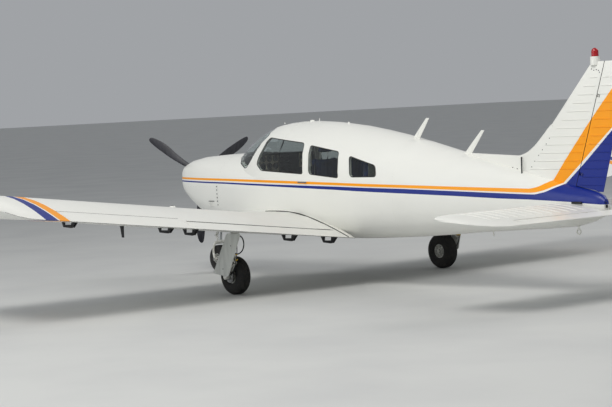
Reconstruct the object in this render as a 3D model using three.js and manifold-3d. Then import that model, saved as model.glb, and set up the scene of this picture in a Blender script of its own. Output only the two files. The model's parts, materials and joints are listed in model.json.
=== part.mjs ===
// A four-seat low-wing aircraft with retractable landing gear, parked on its wheels.
// Millimetres. X points aft, Y to starboard and Z up. The origin is on the ground, under the middle
// of the aircraft. Stations are distances aft of the spinner's tip.
import * as THREE from "three";
import { mergeVertices } from "three/addons/utils/BufferGeometryUtils.js";
import Module from "manifold-3d";

const wasm = await Module();
wasm.setup();

const LENGTH = 7520;
// Heights in the tables start from a level line that lies this far above the ground
const DATUM = 34;
const SEAT_GAP = 0.3;
const RUNNING_GAP = 6;
const RING_POINTS = 24;

// Body sections are superellipses.
// Columns: station, half width, bottom, waist, top, lower power, upper power
const HULL = [
  [352, 296, 1005, 1160, 1330, 2.4, 3.4],
  [374, 340, 968, 1156, 1356, 2.5, 3.8],
  [430, 376, 905, 1150, 1376, 2.5, 3.8],
  [560, 416, 818, 1140, 1420, 2.6, 3.6],
  [760, 457, 720, 1125, 1452, 2.8, 3.2],
  [1060, 501, 640, 1095, 1468, 3.1, 2.8],
  [1400, 532, 592, 1072, 1480, 3.4, 2.5],
  [1520, 541, 578, 1064, 1485, 3.4, 2.4],
  [1700, 551, 560, 1060, 1476, 3.4, 2.3],
  [1900, 558, 543, 1060, 1452, 3.4, 2.3],
  [2150, 561, 526, 1060, 1480, 3.4, 2.3],
  [2480, 562, 505, 1060, 1838, 3.4, 2.3],
  [2760, 562, 495, 1060, 1848, 3.4, 2.3],
  [3140, 562, 489, 1060, 1828, 3.4, 2.3],
  [3500, 562, 488, 1060, 1788, 3.4, 2.3],
  [3850, 554, 494, 1055, 1732, 3.3, 2.3],
  [4180, 528, 506, 1045, 1673, 3.2, 2.3],
  [4550, 476, 524, 1035, 1598, 3.0, 2.25],
  [5000, 394, 556, 1020, 1500, 2.8, 2.2],
  [5430, 320, 592, 1005, 1405, 2.6, 2.2],
  [5970, 246, 626, 985, 1290, 2.4, 2.2],
  [6490, 174, 658, 960, 1180, 2.3, 2.2],
  [6850, 120, 686, 945, 1100, 2.2, 2.2],
  [7100, 80, 748, 932, 1048, 2.2, 2.2],
  [7200, 58, 790, 920, 1012, 2.2, 2.2],
  [7235, 36, 838, 915, 972, 2.2, 2.2],
];
// The raised cabin top, which stands out of the body behind the engine cowl. Same columns
const CANOPY = [
  [1475, 170, 900, 1060, 1468, 2, 2.2],
  [1520, 330, 900, 1060, 1512, 2, 2.2],
  [1600, 425, 900, 1060, 1570, 2, 2.2],
  [1740, 478, 900, 1060, 1652, 2, 2.2],
  [1900, 508, 900, 1060, 1734, 2, 2.2],
  [2080, 537, 900, 1060, 1796, 2, 2.25],
  [2280, 556, 900, 1060, 1832, 2, 2.3],
  [2480, 561, 900, 1060, 1845, 2, 2.3],
  [2600, 561, 900, 1060, 1846, 2, 2.3],
];
const FIREWALL = 1400;
const CABIN_END = 4550;
const CONE_END = 7235;
const COWL_SKIN = 9;
const CABIN_WALL = 38;
const CONE_SKIN = 9;
const COWL_SPLIT = 1090;
const FLOOR = 650;
const PANEL = {
  front: 2060, rear: 2090, bottom: 1080, top: 1478,
  hoodFront: 1600, hoodRear: 2108, hoodBottom: 1462,
};
const YOKE = { y: 250, z: 1150, reach: 150, spread: 130 };
const FRONT_SEAT = {
  inner: 45,
  outer: 440,
  cushion: [[2560, 790], [2560, 915], [2990, 885], [3085, 1440], [3175, 1450], [3125, 860], [3060, 790]],
  headrest: [[3112, 1478], [3128, 1575], [3190, 1575], [3186, 1478]],
  frame: [[2640, 650.3], [2640, 800], [3040, 800], [3040, 650.3]],
};
const REAR_BENCH = [[3440, 650.3], [3440, 915], [3890, 885], [4020, 1400], [4110, 1400], [4030, 650.3]];
const BENCH_HALF = 446;
const ENGINE = { front: 545, rear: 1090, halfWidth: 315, bottom: 930, top: 1285, shaft: 32 };
const COWL_OUTLET = { front: 1180, rear: 1500, halfWidth: 235 };
const NOSE_BAY = { front: 540, rear: 1080, halfWidth: 118 };
const GLASS_INSET = 4;
const GLASS = 6;

// Window outlines seen from the side: station, height of each corner
const WINDSHIELD = [
  [1925, 1310], [2040, 1428], [2139, 1598], [2225, 1705],
  [2085, 1900], [1420, 1900], [1420, 1330], [1700, 1330],
];
// The windshield's lower edge follows the cowl deck at this height over it
const GLASS_OVER_DECK = 8;
const SIDE_WINDOWS = {
  front: [[2290, 1288], [2160, 1366], [2282, 1680], [3014, 1608], [3098, 1246]],
  middle: [[3200, 1246], [3126, 1582], [3668, 1502], [3728, 1201]],
  rear: [[3916, 1212], [3848, 1456], [4280, 1345], [4322, 1214]],
};
const WINDOW_CORNER = 42;
const WINDSHIELD_POST = 24;

// The cabin's panels seen from the side, with the skin's joints between them: station, height of each corner
const CABIN_PANELS = {
  cabin_floor: [[1300, 300], [4600, 300], [4600, 650], [1300, 650]],
  cabin_firewall: [[1300, 650], [1438, 650], [1438, 1900], [1300, 1900]],
  windshield_frame: [[1438, 1290], [2115, 1290], [2115, 1420], [2262, 1735], [2262, 1900], [1438, 1900]],
  cabin_roof: [
    [2262, 1900], [2262, 1735], [3060, 1650], [3700, 1535], [4300, 1385], [4600, 1355], [4600, 1900],
  ],
  cabin_rear_wall: [[4512, 650], [4600, 650], [4600, 1355], [4512, 1363.8]],
};
const CABIN_SIDE = [
  [1438, 650], [4512, 650], [4512, 1363.8], [4300, 1385], [3700, 1535], [3060, 1650], [2262, 1735],
  [2115, 1420], [2115, 1290], [1438, 1290],
];

const DOOR = {
  outline: [[2115, 900], [2115, 1420], [2262, 1735], [3036, 1735], [3148, 1250], [3200, 1180], [3200, 900]],
  front: 2115,
  length: 1030,
  hingeY: 559,
  corner: 60,
  barrels: [935, 1045],
};
const BAGGAGE_DOOR = {
  outline: [[3985, 720], [3985, 1135], [4500, 1135], [4500, 720]],
  front: 3985,
  length: 470,
  hingeY: 539,
  corner: 60,
  barrels: [840, 960],
};
const HINGE_BARREL = { radius: 8, length: 60 };

const WING = {
  trailing: 3883,
  chord: 1600,
  trailingZ: 530.5,
  trailingY: 502,
  dihedral: 0.1287,
  rise: 120,
  thickness: 0.15,
  camber: 0.024,
};
// Wing sections from root to tip. Columns: half span, leading edge, trailing edge, thickness factor,
// crown over the root fairing, lift of the section's lower edge towards the upper skin at the tip
const WING_ROWS = [
  [400, 1830, 3883, 0.76, 1.6, 0],
  [560, 1850, 3883, 0.76, 1.48, 0],
  [640, 1905, 3883, 0.8, 1.24, 0],
  [800, 2030, 3883, 0.86, 1.1, 0],
  [1150, 2283, 3883, 1, 1, 0],
  [2640, 2283, 3883, 1, 1, 0],
  [4500, 2283, 3883, 1, 1, 0],
  [4620, 2300, 3868, 0.86, 1, 2],
  [4710, 2345, 3800, 0.62, 1, 14],
  [4780, 2440, 3660, 0.36, 1, 38],
  [4830, 2640, 3430, 0.12, 1, 66],
];
const AIRFOIL_STEPS = 10;

// Control surfaces hang on pins below the lower skin. Columns of each end: station, half span, height
const FLAP_HINGE = { inner: [3700, 612, 492.6], outer: [3700, 2604, 748.8] };
const AILERON_HINGE = { inner: [3625, 2666, 766.5], outer: [3625, 4150, 957.4] };
const FLAP_NOSE = 134;
const AILERON_NOSE = 152;
const FLAP_BRACKETS = [36, 606, 1950];
const AILERON_BRACKETS = [140, 1330];

// Fin and rudder sections at each height. Columns: height, leading edge, trailing edge, thickness
const TAIL_ROWS = [
  [980, 5815, 7185, 84],
  [1060, 5890, 7209, 82],
  [1420, 6234, 7323, 70],
  [1900, 6692, 7438, 56],
  [2290, 7062, 7518, 44],
  [2344, 7118, 7520, 28],
];
const RUDDER_HINGE = { inner: [6894, 0, 1092], outer: [7283, 0, 2259] };
const RUDDER_PINS = { places: [130, 960], pin: 6, lug: 12, armHalf: 5, slotHalf: 16, back: 22, reach: 90 };
const DORSAL = {
  outline: [
    [5180, 1300], [5180, 1452], [6066, 1411], [6190, 1446], [6312, 1524],
    [6462, 1658], [6560, 1750], [6560, 1000], [5600, 1000],
  ],
  halfWidth: 22,
};
const BEACON = { station: 7160, stem: 50, lamp: 36, seatZ: 2394, topZ: 2480 };

// Tailplane sections from the middle to the tip. Columns: half span, leading edge, trailing edge, thickness
const STAB_ROWS = [
  [0, 6622, 7470, 82],
  [1590, 6622, 7470, 74],
  [1710, 6634, 7398, 68],
  [1805, 6666, 7268, 54],
  [1862, 6716, 7130, 36],
  [1890, 6800, 6985, 16],
];
const STAB = {
  leading: 6622,
  trailing: 7470,
  frontZ: 908,
  backZ: 829,
  hingeX: 6850,
  hingeZ: 886.8,
  tubeRadius: 26,
  tabHinge: 7292,
  tabHalfSpan: 1358,
};

const TAB_PINS = {
  places: [170, 1000, 1716, 2546], pin: 3, lug: 7,
  armHalf: 4, slotHalf: 11, back: 15, reach: 55,
};

const MAIN_WHEEL = { x: 3101, y: 1583, radius: 215, halfWidth: 77, rim: 82 };
const NOSE_WHEEL = { x: 643, y: 0, radius: 175, halfWidth: 62, rim: 66 };
const WHEEL_SIDES = 20;

const PROPELLER = { x: 306, z: 1227, radius: 897, hub: 72, spinner: 152 };
// Blade sections from root to tip. Columns: radius, chord, thickness, pitch in degrees, sweep
const BLADE_ROWS = [
  [60, 60, 54, 44, 0],
  [150, 72, 46, 38, 4],
  [270, 94, 30, 31, 4],
  [430, 114, 20, 24, 12],
  [560, 134, 15, 19, 28],
  [680, 128, 12, 16, 37],
  [780, 106, 9, 13.5, 38],
  [852, 78, 7, 12, 37],
  [888, 44, 5, 11, 34],
  [897, 18, 4, 11, 32],
];

const BLADE_SIDES = 10;

const FINISHES = {
  white: { color: 0xe9e9e2, roughness: 0.32, metalness: 0 },
  navy: { color: 0x0a1f66, roughness: 0.3, metalness: 0 },
  black: { color: 0x24252a, roughness: 0.55, metalness: 0 },
  steel: { color: 0x9a9c9e, roughness: 0.4, metalness: 0.9 },
  grey: { color: 0xc4c6c4, roughness: 0.45, metalness: 0.1 },
  iron: { color: 0x5a5c5e, roughness: 0.7, metalness: 0.6 },
  rubber: { color: 0x17171a, roughness: 0.85, metalness: 0 },
  glass: { color: 0x9fb0b4, roughness: 0.06, metalness: 0 },
  fabric: { color: 0x1d2748, roughness: 0.9, metalness: 0 },
  red: { color: 0xb3121c, roughness: 0.2, metalness: 0 },
};

const aircraft = new THREE.Group();

const along = (station) => station - LENGTH / 2;

// Geometry and solids

function signedVolume(positions, index) {
  let volume = 0;
  const a = new THREE.Vector3();
  const b = new THREE.Vector3();
  const c = new THREE.Vector3();
  for (let i = 0; i < index.length; i += 3) {
    a.fromArray(positions, index[i] * 3);
    b.fromArray(positions, index[i + 1] * 3);
    c.fromArray(positions, index[i + 2] * 3);
    volume += a.dot(b.cross(c)) / 6;
  }
  return volume;
}

function toSolid(geometry) {
  const bare = geometry.clone();
  bare.deleteAttribute("normal");
  bare.deleteAttribute("uv");
  const merged = mergeVertices(bare, 1e-3);
  const positions = merged.attributes.position.array;
  const source = merged.index.array;
  const triangles = [];
  for (let i = 0; i < source.length; i += 3) {
    const [a, b, c] = [source[i], source[i + 1], source[i + 2]];
    if (a !== b && b !== c && c !== a) triangles.push(a, b, c);
  }
  if (signedVolume(positions, triangles) < 0) triangles.reverse();
  return new wasm.Manifold(
    new wasm.Mesh({
      numProp: 3,
      vertProperties: Float32Array.from(positions),
      triVerts: Uint32Array.from(triangles),
    }),
  );
}

function toGeometry(solid) {
  const mesh = solid.getMesh();
  const geometry = new THREE.BufferGeometry();
  geometry.setAttribute("position", new THREE.BufferAttribute(Float32Array.from(mesh.vertProperties), 3));
  geometry.setIndex([...mesh.triVerts]);
  geometry.computeVertexNormals();
  return geometry;
}

const join = (first, ...others) => others.reduce((sum, other) => sum.add(other), first);
const cut = (first, ...others) => others.reduce((rest, other) => rest.subtract(other), first);
const common = (first, ...others) => others.reduce((rest, other) => rest.intersect(other), first);

// The biggest separate piece of a solid, which drops the slivers that a cut can leave
function biggest(solid) {
  const pieces = solid.decompose().map((piece) => [Math.abs(piece.volume()), piece]);
  return pieces.sort((a, b) => b[0] - a[0])[0][1];
}

function mirrored(solid) {
  const geometry = toGeometry(solid);
  geometry.applyMatrix4(new THREE.Matrix4().makeScale(1, -1, 1));
  return toSolid(geometry);
}

function place(name, solid, finish) {
  const material = new THREE.MeshStandardMaterial(FINISHES[finish]);
  const mesh = new THREE.Mesh(toGeometry(solid).translate(0, 0, DATUM), material);
  mesh.name = name;
  aircraft.add(mesh);
}

function placePair(name, starboard, finish) {
  place(`${name}_right`, starboard, finish);
  place(`${name}_left`, mirrored(starboard), finish);
}

// A closed skin through rings that hold the same number of points, with a fan on each end
function loft(rings) {
  const count = rings[0].length;
  const points = rings.flat();
  const index = [];
  for (let ring = 0; ring + 1 < rings.length; ring++) {
    for (let i = 0; i < count; i++) {
      const a = ring * count + i;
      const b = ring * count + ((i + 1) % count);
      index.push(a, b, b + count, a, b + count, a + count);
    }
  }
  for (const [ring, flip] of [[0, true], [rings.length - 1, false]]) {
    const centre = rings[ring].reduce((sum, p) => sum.add(p), new THREE.Vector3()).divideScalar(count);
    points.push(centre);
    for (let i = 0; i < count; i++) {
      const a = ring * count + i;
      const b = ring * count + ((i + 1) % count);
      index.push(points.length - 1, flip ? b : a, flip ? a : b);
    }
  }
  const geometry = new THREE.BufferGeometry().setFromPoints(points);
  geometry.setIndex(index);
  return toSolid(geometry);
}

function box(x0, x1, y0, y1, z0, z1) {
  const geometry = new THREE.BoxGeometry(x1 - x0, y1 - y0, z1 - z0);
  geometry.translate((x0 + x1) / 2, (y0 + y1) / 2, (z0 + z1) / 2);
  return toSolid(geometry);
}

// A round bar between two points, with its own radius at each end
function bar(from, to, radius, endRadius = radius, sides = 14) {
  const start = new THREE.Vector3(...from);
  const reach = new THREE.Vector3(...to).sub(start);
  const geometry = new THREE.CylinderGeometry(endRadius, radius, reach.length(), sides);
  geometry.translate(0, reach.length() / 2, 0);
  const turn = new THREE.Quaternion().setFromUnitVectors(new THREE.Vector3(0, 1, 0), reach.normalize());
  geometry.applyQuaternion(turn);
  geometry.translate(start.x, start.y, start.z);
  return toSolid(geometry);
}

function polygon(corners) {
  const shape = new THREE.Shape();
  shape.moveTo(...corners[0]);
  corners.slice(1).forEach((corner) => shape.lineTo(...corner));
  return shape;
}

function disc(radius, sides, x = 0, y = 0, stretch = 1) {
  const angles = Array.from({ length: sides }, (_, i) => (2 * Math.PI * (i + 0.5)) / sides);
  return polygon(angles.map((a) => [x + radius * stretch * Math.cos(a), y + radius * Math.sin(a)]));
}

// A bent round bar through a few points
function bentBar(points, radius, steps, sides = 8) {
  const section = disc(radius, sides);
  const path = new THREE.CatmullRomCurve3(points.map((p) => new THREE.Vector3(...p)));
  const geometry = new THREE.ExtrudeGeometry(section, {
    steps,
    extrudePath: path,
    bevelEnabled: false,
  });
  return toSolid(geometry);
}

function roundedShape(corners, radius) {
  const shape = new THREE.Shape();
  const points = corners.map((c) => new THREE.Vector2(...c));
  points.forEach((corner, i) => {
    const before = points[(i + points.length - 1) % points.length].clone().sub(corner);
    const after = points[(i + 1) % points.length].clone().sub(corner);
    const reach = Math.min(radius, before.length() / 2.2, after.length() / 2.2);
    const start = corner.clone().add(before.setLength(reach));
    const end = corner.clone().add(after.setLength(reach));
    if (i === 0) shape.moveTo(start.x, start.y);
    else shape.lineTo(start.x, start.y);
    shape.quadraticCurveTo(corner.x, corner.y, end.x, end.y);
  });
  shape.closePath();
  return shape;
}

// A prism with an outline given by station and height, running from y0 to y1
function sidePrism(corners, radius, y0, y1) {
  const geometry = new THREE.ExtrudeGeometry(roundedShape(corners, radius), {
    depth: y1 - y0,
    bevelEnabled: false,
    curveSegments: 3,
  });
  geometry.rotateX(Math.PI / 2);
  geometry.translate(along(0), y1, 0);
  return toSolid(geometry);
}

// A prism with an outline given by station and half span, running from z0 to z1
function topPrism(corners, radius, z0, z1) {
  const geometry = new THREE.ExtrudeGeometry(roundedShape(corners, radius), {
    depth: z1 - z0,
    bevelEnabled: false,
    curveSegments: 3,
  });
  geometry.translate(along(0), 0, z0);
  return toSolid(geometry);
}

// A solid of revolution. The profile holds pairs: place along the axis, radius
function turned(profile, origin, axis, sides, phase = 0) {
  const points = profile.map(([place_, radius]) => new THREE.Vector2(radius, place_));
  const geometry = new THREE.LatheGeometry(points, sides, phase);
  const up = new THREE.Vector3(0, 1, 0);
  const turn = new THREE.Quaternion().setFromUnitVectors(up, new THREE.Vector3(...axis));
  geometry.applyQuaternion(turn);
  geometry.translate(...origin);
  return toSolid(geometry);
}

// Body

// Smooth value of one column of a table between its rows, never past the rows' own values
function column(table, key, station) {
  const last = table.length - 1;
  let row = 0;
  while (row < last - 1 && table[row + 1][0] < station) row++;
  const slope = (i) => (table[i + 1][key] - table[i][key]) / (table[i + 1][0] - table[i][0]);
  const tangent = (i) => {
    if (i <= 0) return slope(0);
    if (i >= last) return slope(last - 1);
    const [a, b] = [slope(i - 1), slope(i)];
    return a * b <= 0 ? 0 : (2 * a * b) / (a + b);
  };
  const width = table[row + 1][0] - table[row][0];
  const t = THREE.MathUtils.clamp((station - table[row][0]) / width, 0, 1);
  const start = table[row][key] * (2 * t ** 3 - 3 * t ** 2 + 1)
    + table[row + 1][key] * (3 * t ** 2 - 2 * t ** 3);
  return start + width * (tangent(row) * (t ** 3 - 2 * t ** 2 + t) + tangent(row + 1) * (t ** 3 - t ** 2));
}

function bodyRing(table, station, inset) {
  const value = (key) => column(table, key, station);
  const halfWidth = Math.max(value(1) - inset, 6);
  const waist = value(3);
  const top = Math.max(value(4) - inset - waist, 6);
  const bottom = Math.max(waist - value(2) - inset, 6);
  const ring = [];
  for (let i = 0; i < RING_POINTS; i++) {
    const angle = (2 * Math.PI * i) / RING_POINTS;
    const [c, s] = [Math.cos(angle), Math.sin(angle)];
    const power = 2 / (s >= 0 ? value(6) : value(5));
    const y = halfWidth * Math.sign(c) * Math.abs(c) ** power;
    const z = waist + (s >= 0 ? top : -bottom) * Math.abs(s) ** power;
    ring.push(new THREE.Vector3(along(station), y, z));
  }
  return ring;
}

// The part of a body table between two stations, with its skin moved in by the inset
function bodySolid(table, from, to, inset) {
  const inner = table.map((row) => row[0]).filter((station) => station > from + 20 && station < to - 20);
  return loft([from, ...inner, to].map((station) => bodyRing(table, station, inset)));
}

function cabinSolid(from, to, inset) {
  const top = bodySolid(CANOPY, CANOPY[0][0] + inset * 1.6, CANOPY[CANOPY.length - 1][0], inset);
  return join(bodySolid(HULL, from, to, inset), top);
}

const bodyOutset = bodySolid(HULL, HULL[0][0], CONE_END, -SEAT_GAP);

// An outline with each of its edges moved out by the same distance
function grown(corners, distance) {
  const points = corners.map((c) => new THREE.Vector2(...c));
  const turn = THREE.ShapeUtils.area(points) > 0 ? 1 : -1;
  const outward = points.map((p, i) => {
    const edge = points[(i + 1) % points.length].clone().sub(p).normalize();
    return new THREE.Vector2(edge.y * turn, -edge.x * turn);
  });
  return points.map((p, i) => {
    const [a, b] = [outward[(i + points.length - 1) % points.length], outward[i]];
    const shift = a.clone().add(b).multiplyScalar(distance / (1 + a.dot(b)));
    return [p.x + shift.x, p.y + shift.y];
  });
}

// A door's block: its rear edge is a round arc about the hinge line, so that it swings clear of its frame
function doorBlock(door, grow) {
  const { outline, front, length, hingeY, corner } = door;
  const reach = length + grow;
  const swing = bar([along(front), hingeY, 600], [along(front), hingeY, 1900], reach, reach, 96);
  return common(swing, sidePrism(grown(outline, grow), corner, 60, hingeY + 40));
}

function windowBlock(outline, grow, y0, y1) {
  return sidePrism(grown(outline, grow), WINDOW_CORNER, y0, y1);
}

const glassSkin = cut(
  cabinSolid(FIREWALL + 10, CABIN_END - 10, GLASS_INSET),
  cabinSolid(FIREWALL + 10, CABIN_END - 10, GLASS_INSET + GLASS),
);

function hingeBarrels(door, grow) {
  const x = along(door.front);
  return door.barrels.map((z) =>
    bar(
      [x, door.hingeY, z - grow],
      [x, door.hingeY, z + HINGE_BARREL.length + grow],
      HINGE_BARREL.radius + grow,
    ));
}

const cabinRoom = (inset) => cut(
  cabinSolid(FIREWALL + inset, CABIN_END - inset, inset),
  box(along(0), along(LENGTH), -900, 900, 0, FLOOR + inset - CABIN_WALL),
);

function makeCabin() {
  const walls = cut(cabinSolid(FIREWALL, CABIN_END, 0), cabinRoom(CABIN_WALL));
  const doorways = [DOOR, BAGGAGE_DOOR].flatMap((door) =>
    [doorBlock(door, RUNNING_GAP), ...hingeBarrels(door, 1.5)]);
  const half = WINDSHIELD_POST;
  const leftWindows = Object.entries(SIDE_WINDOWS);
  const rightWindows = leftWindows.filter(([name]) => name !== "front");
  const hole = (outline, grow, side) => {
    const ends = [120 * side, 700 * side].sort((a, b) => a - b);
    return windowBlock(outline, grow, ...ends);
  };
  const windshieldHole = (grow, side) => {
    const ends = [(half - grow) * side, 700 * side].sort((a, b) => a - b);
    const deck = bodySolid(HULL, FIREWALL - 100, DOOR.front, grow - GLASS_OVER_DECK);
    return cut(windowBlock(WINDSHIELD, grow, ...ends), deck);
  };
  const holes = [
    windshieldHole(0, -1),
    windshieldHole(0, 1),
    ...leftWindows.map(([, outline]) => hole(outline, 0, -1)),
    ...rightWindows.map(([, outline]) => hole(outline, 0, 1)),
  ];
  const shell = cut(walls, ...doorways, ...holes);
  const cutter = (corners) => sidePrism(grown(corners, -SEAT_GAP / 2), 0.1, -900, 900);
  const panels = Object.fromEntries(
    Object.entries(CABIN_PANELS).map(([name, corners]) => [name, biggest(common(shell, cutter(corners)))]),
  );
  panels.cabin_roof = join(panels.cabin_roof, cut(antennaBlade(ANTENNAS[0]), cabinRoom(2)));
  Object.entries(panels).forEach(([name, solid]) => place(name, solid, "white"));
  const sides = common(shell, sidePrism(grown(CABIN_SIDE, -SEAT_GAP / 2), 0.1, -900, 900));
  place("cabin_side_right", biggest(common(sides, box(along(0), along(LENGTH), 2, 900, 0, 2000))), "white");
  place("cabin_side_left", biggest(common(sides, box(along(0), along(LENGTH), -900, -2, 0, 2000))), "white");

  const door = biggest(cut(common(walls, doorBlock(DOOR, 0)), hole(SIDE_WINDOWS.front, 0, 1)));
  place("cabin_door", join(door, ...hingeBarrels(DOOR, 0)), "white");
  const baggageDoor = biggest(common(walls, doorBlock(BAGGAGE_DOOR, 0)));
  place("baggage_door", join(baggageDoor, ...hingeBarrels(BAGGAGE_DOOR, 0)), "white");

  const placePane = (name, block) => place(name, biggest(common(glassSkin, block)), "glass");
  placePane("windshield_left", windshieldHole(-SEAT_GAP, -1));
  placePane("windshield_right", windshieldHole(-SEAT_GAP, 1));
  leftWindows.forEach(([name, outline]) => placePane(`window_left_${name}`, hole(outline, -SEAT_GAP, -1)));
  rightWindows.forEach(([name, outline]) => placePane(`window_right_${name}`, hole(outline, -SEAT_GAP, 1)));
  placePane("cabin_door_window", hole(SIDE_WINDOWS.front, -SEAT_GAP, 1));
}

function makeInterior() {
  const room = cabinRoom(CABIN_WALL + SEAT_GAP);
  const board = box(along(PANEL.front), along(PANEL.rear), -600, 600, PANEL.bottom, PANEL.top);
  const hood = box(along(PANEL.hoodFront), along(PANEL.hoodRear), -600, 600, PANEL.hoodBottom, PANEL.top);
  const yoke = (side) => {
    const y = side * YOKE.y;
    const x = along(PANEL.rear);
    const shaft = bar([x - 10, y, YOKE.z], [x + YOKE.reach, y, YOKE.z], 13, 13, 10);
    const grip = bentBar([
      [x + YOKE.reach, y - YOKE.spread, YOKE.z + 90],
      [x + YOKE.reach, y - YOKE.spread + 18, YOKE.z + 10],
      [x + YOKE.reach, y, YOKE.z - 8],
      [x + YOKE.reach, y + YOKE.spread - 18, YOKE.z + 10],
      [x + YOKE.reach, y + YOKE.spread, YOKE.z + 90],
    ], 13, 10, 6);
    return join(shaft, grip);
  };
  place("instrument_panel", join(biggest(common(room, join(board, hood))), yoke(-1), yoke(1)), "black");

  const { inner, outer } = FRONT_SEAT;
  const cushion = sidePrism(FRONT_SEAT.cushion, 40, inner, outer);
  const headrest = sidePrism(FRONT_SEAT.headrest, 20, inner + 90, outer - 90);
  const frame = sidePrism(FRONT_SEAT.frame, 4, inner + 50, outer - 50);
  const posts = [inner + 150, outer - 150].map((y) =>
    bar([along(3130), y, 1420], [along(3148), y, 1490], 7, 7, 8));
  placePair("front_seat", join(cushion, headrest, frame, ...posts), "fabric");
  place("rear_bench", biggest(common(room, sidePrism(REAR_BENCH, 40, -BENCH_HALF, BENCH_HALF))), "fabric");
}

function makeCowl() {
  const rear = FIREWALL - SEAT_GAP;
  const front = HULL[0][0];
  const outside = bodySolid(HULL, front, rear, 0);
  const inside = bodySolid(HULL, front + COWL_SKIN, rear + 5, COWL_SKIN);
  const chinInlet = box(along(300), along(480), -110, 110, 930, 1000);
  const shaftHole = bar([along(300), 0, PROPELLER.z], [along(420), 0, PROPELLER.z], ENGINE.shaft + 20);
  const side = NOSE_BAY.halfWidth;
  const legBay = box(along(NOSE_BAY.front), along(NOSE_BAY.rear), -side, side, 500, 890);
  const { front: outletFront, rear: outletRear, halfWidth } = COWL_OUTLET;
  const outlet = box(along(outletFront), along(outletRear), -halfWidth, halfWidth, 500, 700);
  const shell = cut(outside, inside, sideInlet(-1), sideInlet(1), chinInlet, shaftHole, legBay, outlet);
  const half = SEAT_GAP / 2;
  const upper = cut(shell, box(along(0), along(2000), -900, 900, 0, COWL_SPLIT + half));
  const lower = cut(shell, box(along(0), along(2000), -900, 900, COWL_SPLIT - half, 2000));
  place("cowl_upper", biggest(upper), "white");
  place("cowl_lower", biggest(lower), "white");
  const pipe = bentBar([
    [along(1040), -175, ENGINE.bottom + 20],
    [along(1075), -178, 800],
    [along(1180), -182, 690],
    [along(1262), -184, 620],
    [along(1350), -186, 566],
  ], 27, 10);
  place("exhaust_pipe", cut(pipe, engineBox(SEAT_GAP)), "steel");
}

function sideInlet(side) {
  const outline = disc(52, 16, side * 205, 1195, 1.2);
  const geometry = new THREE.ExtrudeGeometry(outline, { depth: 140, bevelEnabled: false });
  geometry.rotateX(Math.PI / 2);
  geometry.rotateZ(Math.PI / 2);
  geometry.translate(along(300), 0, 0);
  return toSolid(geometry);
}

function engineBox(grow) {
  const half = ENGINE.halfWidth + grow;
  const [front, rear] = [along(ENGINE.front) - grow, along(ENGINE.rear) + grow];
  return box(front, rear, -half, half, ENGINE.bottom - grow, ENGINE.top + grow);
}

function makeEngine() {
  const { front, rear } = ENGINE;
  const block = engineBox(0);
  const mounts = [[-250, 960], [250, 960], [-250, 1180], [250, 1180]].map(([y, z]) =>
    bar([along(rear - 10), y, z], [along(FIREWALL - SEAT_GAP), y, z], 14, 14, 8));
  const shaft = bar(
    [along(PROPELLER.x + 36) + SEAT_GAP, 0, PROPELLER.z],
    [along(front + 10), 0, PROPELLER.z],
    ENGINE.shaft,
  );
  place("engine_block", join(block, shaft, ...mounts), "iron");
}

// Antenna blades on the top line. Columns: base station, base height, tip station, tip height
const ANTENNAS = [
  [4420, 1570, 4660, 1838],
  [5240, 1400, 5520, 1688],
];

// A solid with the same oval section at a few heights. Columns: station, height, half length, half thickness
function ovalLoft(rows, y) {
  const sides = 10;
  return loft(rows.map(([station, z, half, thick]) => Array.from({ length: sides }, (_, i) => {
    const a = (2 * Math.PI * i) / sides;
    return new THREE.Vector3(along(station) + half * Math.cos(a), y + thick * Math.sin(a), z);
  })));
}

function antennaBlade([s0, z0, s1, z1]) {
  return ovalLoft([[s0, z0, 62, 9], [(s0 + s1) / 2, (z0 + z1) / 2, 46, 8], [s1, z1, 26, 5]], 0);
}

function stabTube(halfLength, radius) {
  const x = along(STAB.hingeX);
  return bar([x, -halfLength, STAB.hingeZ], [x, halfLength, STAB.hingeZ], radius, radius, 18);
}

function makeCone() {
  const outside = bodySolid(HULL, CABIN_END + SEAT_GAP, CONE_END, 0);
  const inside = bodySolid(HULL, CABIN_END - 5, CONE_END - 60, CONE_SKIN);
  const ringZ = 632;
  const stem = bar([along(6850), 0, ringZ + 20], [along(6850), 0, 900], 8, 8, 8);
  const ringOutline = [[-6, 20], [6, 20], [6, 32], [-6, 32], [-6, 20]];
  const ring = turned(ringOutline, [along(6850), 0, ringZ], [0, 1, 0], 14);
  const rod = bar([along(5620), 0, 555], [along(5600), 0, 800], 7, 7, 8);
  const fittings = [join(stem, ring), rod].map((solid) => cut(solid, inside));
  const shell = biggest(cut(outside, inside, stabTube(400, STAB.tubeRadius + 0.9)));
  place("tail_cone", join(shell, ...fittings), "white");
}

// Wings

// Height of the upper or lower skin above the chord line, as a share of the chord
function airfoilHeight(t, side, thickness, camber) {
  const bare = 0.2969 * Math.sqrt(t) - 0.126 * t - 0.3516 * t ** 2 + 0.2843 * t ** 3 - 0.1036 * t ** 4;
  return side * 5 * thickness * bare + 4 * camber * t * (1 - t) * (1.15 - 0.3 * t);
}

function airfoilRing(steps, thickness, camber, toPoint) {
  const ring = [];
  for (let i = 0; i <= steps; i++) {
    const t = (1 + Math.cos((Math.PI * i) / steps)) / 2;
    ring.push(toPoint(t, airfoilHeight(t, 1, thickness, camber) + 0.001));
  }
  for (let i = steps - 1; i >= 0; i--) {
    const t = (1 + Math.cos((Math.PI * i) / steps)) / 2;
    ring.push(toPoint(t, airfoilHeight(t, -1, thickness, camber) - 0.001));
  }
  return ring;
}

const wingTrailingZ = (y) => WING.trailingZ + (y - WING.trailingY) * WING.dihedral;

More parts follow.
